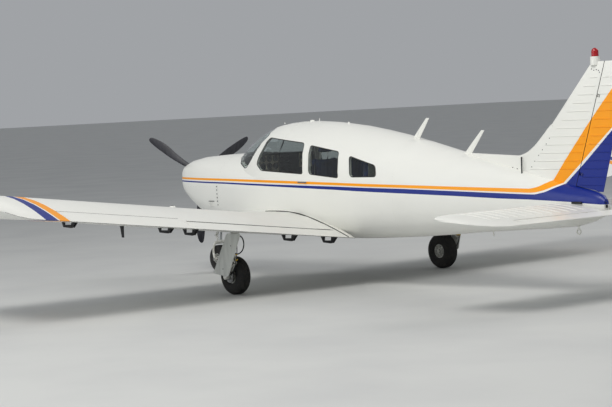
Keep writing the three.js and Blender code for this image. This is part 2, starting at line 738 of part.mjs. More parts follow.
function wingRing([y, leading, trailing, factor, crown, lift]) {
  const chord = trailing - leading;
  const thickness = WING.thickness * factor;
  return airfoilRing(AIRFOIL_STEPS, thickness, WING.camber * Math.min(1, factor + 0.1), (t, height) => {
    const station = leading + t * chord;
    const share = (WING.trailing - station) / WING.chord;
    const skin = height > 0 ? height * (1 + (crown - 1) * Math.min(1, 1.7 * t)) : height;
    const z = wingTrailingZ(y) + WING.rise * Math.min(share, 1.05) + skin * chord + lift;
    return new THREE.Vector3(along(station), y, z);
  });
}

// A prism that runs along a hinge line. Its outline is given as distance aft of the line and above it
function hingePrism(hinge, outline, from, to) {
  const inner = new THREE.Vector3(along(hinge.inner[0]), hinge.inner[1], hinge.inner[2]);
  const outer = new THREE.Vector3(along(hinge.outer[0]), hinge.outer[1], hinge.outer[2]);
  const outward = outer.clone().sub(inner).normalize();
  const inward = outward.clone().negate();
  const aft = new THREE.Vector3(1, 0, 0).addScaledVector(outward, -outward.x).normalize();
  const up = inward.clone().cross(aft);
  const settings = { depth: to - from, bevelEnabled: false, curveSegments: 7 };
  const geometry = new THREE.ExtrudeGeometry(outline, settings);
  geometry.applyMatrix4(new THREE.Matrix4().makeBasis(aft, up, inward));
  const end = inner.clone().addScaledVector(outward, to);
  geometry.translate(end.x, end.y, end.z);
  return toSolid(geometry);
}

const hingeLength = (hinge) =>
  new THREE.Vector3(...hinge.outer).distanceTo(new THREE.Vector3(...hinge.inner));

// Everything aft of the hinge line, with a round nose about it
function surfaceOutline(nose) {
  const shape = new THREE.Shape();
  shape.absarc(0, 0, nose, Math.PI / 2, (3 * Math.PI) / 2);
  shape.lineTo(0, -300);
  shape.lineTo(500, -300);
  shape.lineTo(500, 300);
  shape.lineTo(0, 300);
  shape.closePath();
  return shape;
}

const PITOT = { station: 3000, y: 3000, top: 913, foot: 721 };
const BRACKET = { half: 6, armGap: 6, arm: 5, pin: 5, lug: 15 };

// Hinge brackets on the wing, each with a lug about the pin, and the pins themselves
function wingBrackets(hinge, places, nose) {
  const outline = polygon([
    [-nose - 95, 80], [-nose - 7, 80], [-nose - 3, 8], [-30, 12], [0, BRACKET.lug],
    [BRACKET.lug, 0], [8, -BRACKET.lug], [-30, -22], [-nose - 20, -16],
  ]);
  return places.map((at) => {
    const plate = hingePrism(hinge, outline, at - BRACKET.half, at + BRACKET.half);
    const pin = disc(BRACKET.pin, 8);
    const reach = BRACKET.half + BRACKET.armGap + BRACKET.arm + 3;
    return join(plate, hingePrism(hinge, pin, at - reach, at + reach));
  });
}

// Arms on a control surface, on both sides of each bracket, with a hole for the pin
function surfaceArms(hinge, places, height) {
  const outline = polygon([[-16, 0], [-10, height], [70, height], [16, -6], [6, -16], [-6, -16]]);
  const hole = disc(BRACKET.pin + 1, 8);
  const near = BRACKET.half + BRACKET.armGap;
  return places.flatMap((at) => [at + near, at - near - BRACKET.arm].map((start) =>
    cut(
      hingePrism(hinge, outline, start, start + BRACKET.arm),
      hingePrism(hinge, hole, start - 1, start + BRACKET.arm + 1),
    )));
}

// Slots in a surface's nose, which let its brackets through
function noseSlots(hinge, places, nose) {
  const outline = polygon([[-nose - 20, -200], [-nose - 20, 85], [21, 85], [21, -200]]);
  const half = BRACKET.half + BRACKET.armGap;
  return places.map((at) => hingePrism(hinge, outline, at - half, at + half));
}

// Hinges between a fixed surface and one whose round nose lies close behind it: slots in the nose with a pin
// across each, and arms on the fixed surface that reach into them
function pinnedJoint(hinge, { places, pin, lug, armHalf, slotHalf, back, reach }) {
  const opening = polygon([[-reach, -reach], [-reach, reach], [back, reach], [back, -reach]]);
  const strip = polygon([[-reach, -0.8 * lug], [-reach, 0.8 * lug], [0, 0.8 * lug], [0, -0.8 * lug]]);
  const along_ = (outline, half) => places.map((at) => hingePrism(hinge, outline, at - half, at + half));
  const holes = along_(disc(pin + 0.6, 10), armHalf + 1);
  const lugs = along_(disc(lug, 10), armHalf);
  return {
    slots: along_(opening, slotHalf),
    pins: along_(disc(pin, 10), slotHalf + 6),
    arms: along_(strip, armHalf).map((arm, i) => cut(join(arm, lugs[i]), holes[i])),
  };
}

function makeWings() {
  const blank = cut(loft(WING_ROWS.map(wingRing)), bodyOutset);
  const whole = biggest(cut(blank, box(along(0), along(LENGTH), -900, 470, 0, 3000)));
  const flapSpan = hingeLength(FLAP_HINGE);
  const aileronSpan = hingeLength(AILERON_HINGE);
  const gap = RUNNING_GAP;
  const flapCove = hingePrism(FLAP_HINGE, surfaceOutline(FLAP_NOSE + gap), -gap, flapSpan + gap);
  const aileronCove = hingePrism(AILERON_HINGE, surfaceOutline(AILERON_NOSE + gap), -gap, aileronSpan + gap);
  const flap = common(whole, hingePrism(FLAP_HINGE, surfaceOutline(FLAP_NOSE), 0, flapSpan));
  const aileron = cut(
    common(whole, hingePrism(AILERON_HINGE, surfaceOutline(AILERON_NOSE), 0, aileronSpan)),
    ...noseSlots(AILERON_HINGE, AILERON_BRACKETS, AILERON_NOSE),
  );
  placePair("flap", join(biggest(flap), ...surfaceArms(FLAP_HINGE, FLAP_BRACKETS, 56)), "white");
  placePair("aileron", join(biggest(aileron), ...surfaceArms(AILERON_HINGE, AILERON_BRACKETS, 46)), "white");
  const brackets = [
    ...wingBrackets(FLAP_HINGE, FLAP_BRACKETS, FLAP_NOSE + gap),
    ...wingBrackets(AILERON_HINGE, AILERON_BRACKETS, AILERON_NOSE + gap),
  ];
  const fixed = biggest(cut(whole, flapCove, aileronCove, ...wheelWell()));
  const { station, y, top, foot } = PITOT;
  const fuelCap = bar([along(2560), 2020, 834], [along(2560), 2020, 971], 42, 36, 14);
  const wing = join(fixed, fuelCap, ...brackets);
  place("wing_right", wing, "white");
  place("wing_left", biggest(cut(mirrored(wing), bodyOutset)), "white");
  const middle = (top + foot) / 2;
  const rows = [[station, top, 60, 11], [station + 14, middle, 34, 9], [station + 22, foot, 22, 8]];
  const mast = ovalLoft(rows, -y);
  place("pitot_mast", biggest(cut(mast, mirrored(whole))).translate([0, 0, -SEAT_GAP]), "black");
}

// Room in the lower skin for the folded wheel and leg
function wheelWell() {
  const wellX = along(MAIN_WHEEL.x + 20);
  const wheel = bar([wellX, 1130, 300], [wellX, 1130, wellTop(1130)], 232, 232, 20);
  const leg = box(along(MAIN_WHEEL.x + 60), along(MAIN_WHEEL.x + 190), 1130, 1730, 300, wellTop(1600));
  return [wheel, leg];
}

const wellTop = (y) => wingTrailingZ(y) + 105;

// Tail

function tailRing([z, leading, trailing, thickness]) {
  const chord = trailing - leading;
  return airfoilRing(9, 1, 0, (t, height) => {
    const side = Math.sign(height);
    const station = leading + t * chord;
    return new THREE.Vector3(along(station), side * Math.max(Math.abs(height) * thickness, 3), z);
  });
}

// Everything aft of the rudder's hinge line, with a round nose that narrows upwards
function rudderBlock(grow) {
  const ends = [RUDDER_HINGE.inner, RUDDER_HINGE.outer];
  const [low, high] = ends.map(([s, y, z]) => new THREE.Vector3(along(s), y, z));
  const up = high.clone().sub(low).normalize();
  const reach = 240;
  const start = low.clone().addScaledVector(up, -reach);
  const end = high.clone().addScaledVector(up, reach);
  const nose = bar(start.toArray(), end.toArray(), 44 + grow, 15 + grow, 20);
  const corners = [start, end].map((p) => [p.x - along(0), p.z]);
  const rear = sidePrism([...corners, [8600, end.z], [8600, start.z]], 0.5, -200, 200);
  return join(nose, rear);
}

function makeTail() {
  const whole = loft(TAIL_ROWS.map(tailRing));
  const cone = bodySolid(HULL, HULL[0][0], CONE_END, -RUNNING_GAP - 3);
  const low = box(along(0), along(LENGTH + 100), -300, 300, 0, 1040);
  const { slots, pins, arms } = pinnedJoint(RUDDER_HINGE, RUDDER_PINS);
  const rudder = biggest(cut(common(cut(whole, cone, low), rudderBlock(0)), ...slots));
  place("rudder", join(rudder, ...pins), "navy");
  const dorsal = sidePrism(DORSAL.outline, 50, -DORSAL.halfWidth, DORSAL.halfWidth);
  const stem = bar([along(BEACON.station), 0, 2310], [along(BEACON.station), 0, BEACON.seatZ], BEACON.stem);
  const fin = cut(join(whole, dorsal, antennaBlade(ANTENNAS[1])), bodyOutset, rudderBlock(RUNNING_GAP));
  place("fin", join(biggest(fin), cut(stem, rudderBlock(RUNNING_GAP)), ...arms), "white");
  const height = BEACON.topZ - BEACON.seatZ;
  const lamp = [
    [0, 0], [0, BEACON.lamp], [0.62 * height, BEACON.lamp],
    [0.88 * height, 0.72 * BEACON.lamp], [height, 0],
  ];
  place("beacon", turned(lamp, [along(BEACON.station), 0, BEACON.seatZ + SEAT_GAP], [0, 0, 1], 14), "red");
}

function stabHeight(station) {
  return THREE.MathUtils.mapLinear(station, STAB.leading, STAB.trailing, STAB.frontZ, STAB.backZ);
}

function stabRing([y, leading, trailing, thickness], side) {
  const chord = trailing - leading;
  return airfoilRing(8, 1, 0, (t, height) => {
    const station = leading + t * chord;
    const middle = stabHeight(station);
    const half = Math.sign(height) * Math.max(Math.abs(height) * thickness, 2.5);
    return new THREE.Vector3(along(station), side * y, middle + half);
  });
}

function makeTailplane() {
  const left = STAB_ROWS.map((row) => stabRing(row, -1)).reverse();
  const right = STAB_ROWS.slice(1).map((row) => stabRing(row, 1));
  const whole = loft([...left, ...right]);
  const tabZ = stabHeight(STAB.tabHinge);
  const tabBlock = (grow) => {
    const half = STAB.tabHalfSpan + grow;
    const x = along(STAB.tabHinge);
    const nose = bar([x, -half, tabZ], [x, half, tabZ], 17 + grow, 17 + grow, 16);
    return join(nose, box(along(STAB.tabHinge), along(7700), -half, half, 600, 1100));
  };
  const middle = topPrism([[6500, 190], [6500, -190], [7560, -96], [7560, 96]], 1, 600, 1100);
  const panels = cut(whole, tabBlock(RUNNING_GAP), middle);
  const hinge = {
    inner: [STAB.tabHinge, -STAB.tabHalfSpan, tabZ],
    outer: [STAB.tabHinge, STAB.tabHalfSpan, tabZ],
  };
  const { slots, pins, arms } = pinnedJoint(hinge, TAB_PINS);
  place("stabilator", join(panels, stabTube(330, STAB.tubeRadius), ...arms), "white");
  place("anti_servo_tab", join(biggest(cut(common(whole, tabBlock(0)), ...slots)), ...pins), "white");
}

// Landing gear

const wheelHeight = (wheel) => wheel.radius * Math.cos(Math.PI / WHEEL_SIDES) - DATUM;

function makeTyre(wheel) {
  const { radius, halfWidth, rim } = wheel;
  const half = [
    [0.72, rim / radius], [1, 0.62], [1, 0.76], [0.88, 0.9], [0.62, 0.975], [0.3, 1],
  ];
  const profile = [
    ...half.map(([w, r]) => [-w * halfWidth, r * radius]),
    ...[...half].reverse().map(([w, r]) => [w * halfWidth, r * radius]),
  ];
  profile.push(profile[0]);
  const centre = [along(wheel.x), wheel.y, wheelHeight(wheel)];
  return turned(profile, centre, [0, 1, 0], WHEEL_SIDES, Math.PI / WHEEL_SIDES);
}

function makeRim(wheel, bore) {
  const { halfWidth, rim } = wheel;
  const outer = rim - SEAT_GAP;
  const edge = 0.72 * halfWidth;
  const profile = [
    [-edge, bore], [-edge, 0.5 * outer], [-0.45 * edge, 0.62 * outer], [-edge, 0.92 * outer], [-edge, outer],
    [edge, outer], [edge, 0.92 * outer], [0.45 * edge, 0.62 * outer], [edge, 0.5 * outer], [edge, bore],
  ];
  profile.push(profile[0]);
  const centre = [along(wheel.x), wheel.y, wheelHeight(wheel)];
  return turned(profile, centre, [0, 1, 0], WHEEL_SIDES, Math.PI / WHEEL_SIDES);
}

// The main leg leans forward and out at its foot
const LEG = {
  top: [3226, 1657, 687],
  foot: [3108, 1712, 0],
  trunnion: 64.7,
  outer: 33,
  piston: 22,
  split: 0.52,
  doorGap: 6,
};

function legPoint(share) {
  const foot = wheelHeight(MAIN_WHEEL);
  const [x0, y0, z0] = LEG.top;
  const [x1, y1] = LEG.foot;
  return [along(x0 + (x1 - x0) * share), y0 + (y1 - y0) * share, z0 + (foot - z0) * share];
}

function makeMainGear() {
  const axleZ = wheelHeight(MAIN_WHEEL);
  const cylinder = bar(legPoint(0), legPoint(LEG.split), LEG.outer, LEG.outer, 14);
  const piston = bar(legPoint(LEG.split - 0.02), legPoint(1), LEG.piston, LEG.piston, 12);
  const [topX, topY, topZ] = legPoint(0);
  const trunnion = bar([topX - LEG.trunnion, topY, topZ], [topX + LEG.trunnion, topY, topZ], 26, 26, 12);
  const foot = bar([legPoint(1)[0], 1686, axleZ], [legPoint(1)[0], 1738, axleZ], 34, 34, 12);
  const axle = bar([along(MAIN_WHEEL.x), 1508, axleZ], [along(MAIN_WHEEL.x), 1740, axleZ], 18, 18, 12);
  const upperLink = torqueLink(legPoint(0.42), [62, 0, -34]);
  const lowerLink = torqueLink(legPoint(0.88), [86, 0, 92]);
  const links = [upperLink, lowerLink];
  const lugs = [0.3, 0.8].map((share) => {
    const [x, y, z] = legPoint(share);
    return bar([x, y, z], [x, y + LEG.outer + LEG.doorGap - 1.6, z], 9, 9, 8);
  });
  const leg = join(cylinder, piston, trunnion, foot, axle, ...links, ...lugs);
  placePair("main_leg", leg, "white");
  const tyre = makeTyre(MAIN_WHEEL);
  const rim = makeRim(MAIN_WHEEL, 18.8);
  placePair("main_tyre", tyre, "rubber");
  placePair("main_rim", rim, "grey");
}

function torqueLink([x, y, z], [dx, dy, dz]) {
  return bar([x, y, z], [x + dx, y + dy, z + dz], 11, 9, 8);
}

function makeMainDoors() {
  const corners = [[3136, 662], [3388, 665], [3197, 182], [2917, 211]];
  const lean = (LEG.foot[1] - LEG.top[1]) / (LEG.top[2] - wheelHeight(MAIN_WHEEL));
  const plate = sidePrism(corners, 26, 0, 9);
  const geometry = toGeometry(plate);
  const skew = new THREE.Matrix4().makeShear(0, 0, 0, 0, 0, -lean);
  geometry.applyMatrix4(skew);
  geometry.translate(0, LEG.top[1] + lean * LEG.top[2] + LEG.outer + LEG.doorGap, 0);
  placePair("main_gear_door", toSolid(geometry), "grey");
}

const STEER = { foot: [671, 430], lean: 0.12 };

function steerPoint(z) {
  return [along(STEER.foot[0] + (z - STEER.foot[1]) * STEER.lean), 0, z];
}

function makeNoseGear() {
  const axleZ = wheelHeight(NOSE_WHEEL);
  const tyreTop = axleZ + NOSE_WHEEL.radius;
  const seatZ = ENGINE.bottom - 5;
  const x = steerPoint(seatZ)[0];
  const top = bar([x, 0, seatZ - 30], [x, 0, ENGINE.bottom - SEAT_GAP], 60, 60, 16);
  const upper = bar(steerPoint(520), steerPoint(seatZ), 34, 34, 16);
  const brace = bar(steerPoint(560), [along(1000), 0, seatZ - 14], 14, 14, 8);
  const foot = box(along(960), along(1040), -30, 30, seatZ - 20, ENGINE.bottom - SEAT_GAP);
  place("nose_leg", join(upper, top, brace, foot), "white");
  const crownZ = tyreTop + 34;
  const piston = bar(steerPoint(crownZ - 8), steerPoint(520 - SEAT_GAP), 24, 24, 14);
  const crown = bar([steerPoint(crownZ)[0], -84, crownZ], [steerPoint(crownZ)[0], 84, crownZ], 20, 20, 12);
  const arms = [-1, 1].map((side) =>
    bentBar([
      [steerPoint(crownZ)[0], side * 80, crownZ],
      [along(632), side * 84, 300],
      [along(622), side * 84, 215],
      [along(NOSE_WHEEL.x), side * 84, axleZ],
    ], 15, 5));
  const axle = bar([along(NOSE_WHEEL.x), -92, axleZ], [along(NOSE_WHEEL.x), 92, axleZ], 12, 12, 12);
  place("nose_fork", join(piston, crown, axle, ...arms), "white");
  place("nose_tyre", makeTyre(NOSE_WHEEL), "rubber");
  place("nose_rim", makeRim(NOSE_WHEEL, 12.8), "grey");
}

function makeNoseDoors() {
  const { front, rear, halfWidth } = NOSE_BAY;
  const rim = (station) => column(HULL, 2, station) + COWL_SKIN;
  const outline = [
    [front + 20, rim(front + 20)], [rear - 20, rim(rear - 20)],
    [rear - 60, 556], [front + 90, 600],
  ];
  const plate = sidePrism(outline, 24, halfWidth - SEAT_GAP - 8, halfWidth - SEAT_GAP);
  placePair("nose_gear_door", plate, "white");
}

// Propeller

function bladeSolid(angle) {
  const rings = BLADE_ROWS.map(([radius, chord, thickness, pitch, sweep]) => {
    const turn = THREE.MathUtils.degToRad(pitch);
    const ring = [];
    for (let i = 0; i < BLADE_SIDES; i++) {
      const a = (2 * Math.PI * i) / BLADE_SIDES;
      const u = (chord / 2) * Math.cos(a) + sweep;
      const v = (thickness / 2) * Math.sin(a);
      const [c, s] = [Math.cos(turn), Math.sin(turn)];
      ring.push(new THREE.Vector3(v * c - u * s, u * c + v * s, radius));
    }
    return ring;
  });
  const geometry = toGeometry(loft(rings));
  geometry.rotateX(angle);
  geometry.translate(along(PROPELLER.x), 0, PROPELLER.z);
  return toSolid(geometry);
}

function makePropeller() {
  const { x, z, hub, spinner } = PROPELLER;
  const barrel = bar([along(x - 45), 0, z], [along(x + 36), 0, z], hub, hub, 16);
  const blades = [Math.PI / 3, -Math.PI / 3, Math.PI].map(bladeSolid);
  place("propeller", join(barrel, ...blades), "black");
  const profile = [[0, 0], [12, 32], [60, 76], [150, 122], [250, 148], [342, spinner], [342, 0]];
  const shell = turned(profile, [along(0), 0, z], [1, 0, 0], 20);
  const bore = bar([along(x - 45 - SEAT_GAP), 0, z], [along(400), 0, z], hub + SEAT_GAP, hub + SEAT_GAP, 16);
  const slots = [Math.PI / 3, -Math.PI / 3, Math.PI].map((angle) => {
    const tip = [along(x), -Math.sin(angle) * 260, z + Math.cos(angle) * 260];
    return bar([along(x), 0, z], tip, 44, 44, 12);
  });
  place("spinner", cut(shell, bore, ...slots), "white");
}

makeCowl();
makeEngine();
makeCabin();
makeInterior();
makeCone();
makeWings();
makeTail();
makeTailplane();
makeMainGear();
makeMainDoors();
makeNoseGear();
makeNoseDoors();
makePropeller();

export default aircraft;
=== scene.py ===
import functools
import json
import math

import bmesh
import bpy
from mathutils import Matrix, Vector

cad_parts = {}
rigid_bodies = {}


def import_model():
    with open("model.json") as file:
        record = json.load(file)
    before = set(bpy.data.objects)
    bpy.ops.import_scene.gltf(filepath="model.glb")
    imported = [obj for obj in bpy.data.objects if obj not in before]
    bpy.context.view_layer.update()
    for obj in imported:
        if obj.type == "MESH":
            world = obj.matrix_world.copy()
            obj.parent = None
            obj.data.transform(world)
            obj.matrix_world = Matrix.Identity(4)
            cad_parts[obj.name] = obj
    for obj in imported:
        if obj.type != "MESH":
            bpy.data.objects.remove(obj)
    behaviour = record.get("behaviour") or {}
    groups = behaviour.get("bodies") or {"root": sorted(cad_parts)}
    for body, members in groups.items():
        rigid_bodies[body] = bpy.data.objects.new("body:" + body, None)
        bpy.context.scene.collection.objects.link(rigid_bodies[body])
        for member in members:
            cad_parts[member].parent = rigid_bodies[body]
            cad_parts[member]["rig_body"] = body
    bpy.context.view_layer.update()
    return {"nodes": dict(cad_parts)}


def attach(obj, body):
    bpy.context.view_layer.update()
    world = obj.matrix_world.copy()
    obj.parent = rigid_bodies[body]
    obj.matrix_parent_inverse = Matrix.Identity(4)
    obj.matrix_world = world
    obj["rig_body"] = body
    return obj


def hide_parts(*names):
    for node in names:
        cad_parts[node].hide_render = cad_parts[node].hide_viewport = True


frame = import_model()
NODES = frame["nodes"]

# Sizes are millimetres in the tables: a station is the distance aft of the spinner's tip, Y is to starboard,
# and heights are above the ground. The aircraft's own frame is in metres, with X from its middle.
MM = 0.001
LENGTH = 7520
MIDDLE = LENGTH / 2
DATUM = 34
SIDES = {"right": 1, "left": -1}

# Body sections are superellipses, with heights above the datum.
# Columns: station, half width, bottom, waist, top, lower power, upper power
HULL = (
    (352, 296, 1005, 1160, 1330, 2.4, 3.4),
    (374, 340, 968, 1156, 1356, 2.5, 3.8),
    (430, 376, 905, 1150, 1376, 2.5, 3.8),
    (560, 416, 818, 1140, 1420, 2.6, 3.6),
    (760, 457, 720, 1125, 1452, 2.8, 3.2),
    (1060, 501, 640, 1095, 1468, 3.1, 2.8),
    (1400, 532, 592, 1072, 1480, 3.4, 2.5),
    (1520, 541, 578, 1064, 1485, 3.4, 2.4),
    (1700, 551, 560, 1060, 1476, 3.4, 2.3),
    (1900, 558, 543, 1060, 1452, 3.4, 2.3),
    (2150, 561, 526, 1060, 1480, 3.4, 2.3),
    (2480, 562, 505, 1060, 1838, 3.4, 2.3),
    (2760, 562, 495, 1060, 1848, 3.4, 2.3),
    (3140, 562, 489, 1060, 1828, 3.4, 2.3),
    (3500, 562, 488, 1060, 1788, 3.4, 2.3),
    (3850, 554, 494, 1055, 1732, 3.3, 2.3),
    (4180, 528, 506, 1045, 1673, 3.2, 2.3),
    (4550, 476, 524, 1035, 1598, 3.0, 2.25),
    (5000, 394, 556, 1020, 1500, 2.8, 2.2),
    (5430, 320, 592, 1005, 1405, 2.6, 2.2),
    (5970, 246, 626, 985, 1290, 2.4, 2.2),
    (6490, 174, 658, 960, 1180, 2.3, 2.2),
    (6850, 120, 686, 945, 1100, 2.2, 2.2),
    (7100, 80, 748, 932, 1048, 2.2, 2.2),
    (7200, 58, 790, 920, 1012, 2.2, 2.2),
    (7235, 36, 838, 915, 972, 2.2, 2.2),
)
CANOPY = (
    (1475, 170, 900, 1060, 1468, 2, 2.2),
    (1520, 330, 900, 1060, 1512, 2, 2.2),
    (1600, 425, 900, 1060, 1570, 2, 2.2),
    (1740, 478, 900, 1060, 1652, 2, 2.2),
    (1900, 508, 900, 1060, 1734, 2, 2.2),
    (2080, 537, 900, 1060, 1796, 2, 2.25),
    (2280, 556, 900, 1060, 1832, 2, 2.3),
    (2480, 561, 900, 1060, 1845, 2, 2.3),
    (2600, 561, 900, 1060, 1846, 2, 2.3),
)
BODY_TABLES = {"hull": HULL, "canopy": CANOPY}

# Columns: half span, leading edge, trailing edge, thickness factor, crown over the root fairing, lift
WING_ROWS = (
    (400, 1830, 3883, 0.76, 1.6, 0),
    (560, 1850, 3883, 0.76, 1.48, 0),
    (640, 1905, 3883, 0.8, 1.24, 0),
    (800, 2030, 3883, 0.86, 1.1, 0),
    (1150, 2283, 3883, 1, 1, 0),
    (2640, 2283, 3883, 1, 1, 0),
    (4500, 2283, 3883, 1, 1, 0),
    (4620, 2300, 3868, 0.86, 1, 2),
    (4710, 2345, 3800, 0.62, 1, 14),
    (4780, 2440, 3660, 0.36, 1, 38),
    (4830, 2640, 3430, 0.12, 1, 66),
)
WING = {"trailing": 3883, "chord": 1600, "trailing_z": 530.5, "trailing_y": 502, "dihedral": 0.1287,
        "rise": 120, "thickness": 0.15, "camber": 0.024}
# Columns: height, leading edge, trailing edge, thickness
FIN_ROWS = (
    (980, 5815, 7185, 84),
    (1060, 5890, 7209, 82),
    (1420, 6234, 7323, 70),
    (1900, 6692, 7438, 56),
    (2290, 7062, 7518, 44),
    (2344, 7118, 7520, 28),
)
# Columns: half span, leading edge, trailing edge, thickness
STAB_ROWS = (
    (0, 6622, 7470, 82),
    (1590, 6622, 7470, 74),
    (1710, 6634, 7398, 68),
    (1805, 6666, 7268, 54),
    (1862, 6716, 7130, 36),
    (1890, 6800, 6985, 16),
)
STAB = {"leading": 6622, "trailing": 7470, "front_z": 908, "back_z": 829}
RUDDER_HINGE = ((1092, 6894), (2259, 7283))


def at(station, y, height):
    """A point in the aircraft's frame from its station, its place across and its height above the ground."""
    return Vector(((station - MIDDLE) * MM, y * MM, height * MM))


# Camera, floor and light

CAMERA_PLACE = (16.06, -13.9119, 2.1206)
CAMERA_RIGHT = (0.6263392, 0.77807579, -0.0479299)
CAMERA_UP = (-0.01277582, 0.07172122, 0.99734289)
CAMERA_BACK = (0.77944595, -0.62406261, 0.05486237)
LENS = 109.388


def make_camera():
    lens = bpy.data.cameras.new("camera")
    lens.lens = LENS
    lens.sensor_width = 36
    lens.clip_end = 600
    camera = bpy.data.objects.new("camera", lens)
    turn = Matrix((CAMERA_RIGHT, CAMERA_UP, CAMERA_BACK)).transposed().to_4x4()
    camera.matrix_world = Matrix.Translation(CAMERA_PLACE) @ turn
    bpy.context.scene.collection.objects.link(camera)
    bpy.context.scene.camera = camera


def make_light(name, place, aim, size, power, tint):
    lamp = bpy.data.lights.new(name, "AREA")
    lamp.size = size
    lamp.energy = power
    lamp.color = tint
    obj = bpy.data.objects.new(name, lamp)
    obj.location = place
    obj.rotation_euler = (Vector(aim) - Vector(place)).to_track_quat("-Z", "Y").to_euler()
    bpy.context.scene.collection.objects.link(obj)


# Materials


def colour(code):
    """The linear value of an sRGB colour that is written as #RRGGBB."""
    parts = [int(code[k:k + 2], 16) / 255 for k in (1, 3, 5)]
    return tuple(c / 12.92 if c <= 0.04045 else ((c + 0.055) / 1.055) ** 2.4 for c in parts) + (1,)


def add(tree, kind, inputs=None, **settings):
    """Adds a shader node with its settings. An input takes a value or another node's output."""
    made = tree.nodes.new("ShaderNode" + kind)
    for key, value in settings.items():
        setattr(made, key, value)
    for key, value in (inputs or {}).items():
        if isinstance(value, bpy.types.NodeSocket):
            tree.links.new(value, made.inputs[key])
        else:
            made.inputs[key].default_value = value
    return made


def sums(tree, operation, *values):
    """The output of one calculation on numbers or other nodes' outputs."""
    return add(tree, "Math", dict(enumerate(values)), operation=operation).outputs[0]


def mixed(tree, share, first, second):
    """A colour between two others."""
    return add(tree, "Mix", {0: share, 6: first, 7: second}, data_type="RGBA").outputs[2]


def start_material(name, **shader_values):
    """A material with only its shader, the shader's tree and the object's coordinates."""
    material = bpy.data.materials.new(name)
    material.use_nodes = True
    tree = material.node_tree
    tree.nodes.clear()
    shader = add(tree, "BsdfPrincipled")
    for key, value in shader_values.items():
        shader.inputs[key.replace("_", " ")].default_value = value
    output = add(tree, "OutputMaterial")
    tree.links.new(shader.outputs[0], output.inputs[0])
    place = add(tree, "TexCoord").outputs["Object"]
    return material, tree, shader, place


def noise(tree, place, size, detail, stretch=None):
    """Soft blotches about this many metres across. A stretch scales the pattern along each axis."""
    if stretch:
        place = add(tree, "Mapping", {"Vector": place, "Scale": stretch}).outputs[0]
    return add(tree, "TexNoise", {"Vector": place, "Scale": 1 / size, "Detail": detail}).outputs["Fac"]


def ranged(tree, value, low, high, to_low, to_high):
    keys = ("Value", "From Min", "From Max", "To Min", "To Max")
    return add(tree, "MapRange", dict(zip(keys, (value, low, high, to_low, to_high)))).outputs[0]


def bumped(tree, shader, height, distance, strength=1.0):
    bump = add(tree, "Bump", {"Height": height, "Distance": distance, "Strength": strength})
    tree.links.new(bump.outputs[0], shader.inputs["Normal"])


def feed(tree, shader, **outputs):
    """Links other nodes' outputs to the shader's sockets."""
    for key, output in outputs.items():
        tree.links.new(output, shader.inputs[key.replace("_", " ")])


WHITE = colour("#F0F0EA")
TINTS = {"orange": colour("#FFA200"), "navy": colour("#0B2684")}
# The stripe's edges along the body and up the fin. Columns: station, height, both in metres
STRIPE = {
    "orange_top": (
        (0.3, 1.237), (0.488, 1.235), (1.572, 1.227), (2.469, 1.212), (3.656, 1.189), (4.638, 1.162),
        (5.496, 1.135), (6.354, 1.113), (6.446, 1.131), (6.551, 1.184), (6.726, 1.395), (7.051, 1.76),
        (7.362, 2.09), (7.52, 2.26)),
    "orange_bottom": (
        (0.3, 1.214), (0.488, 1.212), (1.575, 1.2), (2.47, 1.182), (3.656, 1.159), (4.639, 1.13),
        (5.496, 1.099), (6.339, 1.071), (6.424, 1.073), (6.541, 1.099), (6.686, 1.158),
        (6.853, 1.296), (6.99, 1.411), (7.338, 1.706), (7.52, 1.86)),
    "navy_top": (
        (0.3, 1.197), (0.487, 1.195), (1.576, 1.183), (2.47, 1.164), (3.657, 1.145), (4.639, 1.12),
        (5.497, 1.086), (6.339, 1.056), (6.426, 1.055), (6.545, 1.079), (6.715, 1.148),
        (6.879, 1.282), (7.016, 1.394), (7.336, 1.678), (7.52, 1.842)),
    "navy_bottom": (
        (0.3, 1.18), (0.487, 1.178), (1.578, 1.164), (2.47, 1.141), (3.657, 1.108), (4.641, 1.07),
        (5.498, 1.034), (5.996, 1.012), (6.34, 1.003), (6.637, 0.989), (6.89, 0.976),
        (7.008, 0.965), (7.235, 0.95), (7.52, 0.94)),
}
STRIPE_TOP = 3.0
# Bands across the wing tips: half span at the crest and at the trailing edge, in metres
TIP_BANDS = {"orange": ((4.06, 4.17), (4.165, 4.285)), "navy": ((4.19, 4.305), (4.27, 4.45))}
WING_CREST = 2.6
# Rivets, in metres: a head's radius, the pitch along a row, and the distance between two rows
RIVET = 0.0022
RIVET_PITCH = 0.032
ROW_PITCH = {"frame": 0.44, "stringer": 0.24, "wing_rib": 0.3, "spar": 0.4, "fin_rib": 0.334}
BODY_AXIS = 1.06
BODY_RADIUS = 0.55


def edge_line(tree, station, points):
    """A painted edge's height at each station, straight between its points."""
    curve = add(tree, "FloatCurve", {"Value": station})
    line = curve.mapping.curves[0]
    for k, (x, z) in enumerate(points):
        spot = (x / (LENGTH * MM), z / STRIPE_TOP)
        if k < 2:
            line.points[k].location = spot
        else:
            line.points.new(*spot)
    for point in line.points:
        point.handle_type = "VECTOR"
    curve.mapping.update()
    return sums(tree, "MULTIPLY", curve.outputs[0], STRIPE_TOP)


def between(tree, value, low, high):
    above = sums(tree, "GREATER_THAN", value, low)
    return sums(tree, "MULTIPLY", above, sums(tree, "LESS_THAN", value, high))


def rivet_rows(tree, across, along, row_pitch):
    """Height of small domes that stand in rows, one row at each pitch across."""
    aside = sums(tree, "PINGPONG", across, row_pitch / 2)
    ahead = sums(tree, "PINGPONG", along, RIVET_PITCH / 2)
    squares = [sums(tree, "POWER", part, 2) for part in (aside, ahead)]
    return ranged(tree, sums(tree, "SQRT", sums(tree, "ADD", *squares)), RIVET, RIVET * 0.3, 0, 1)


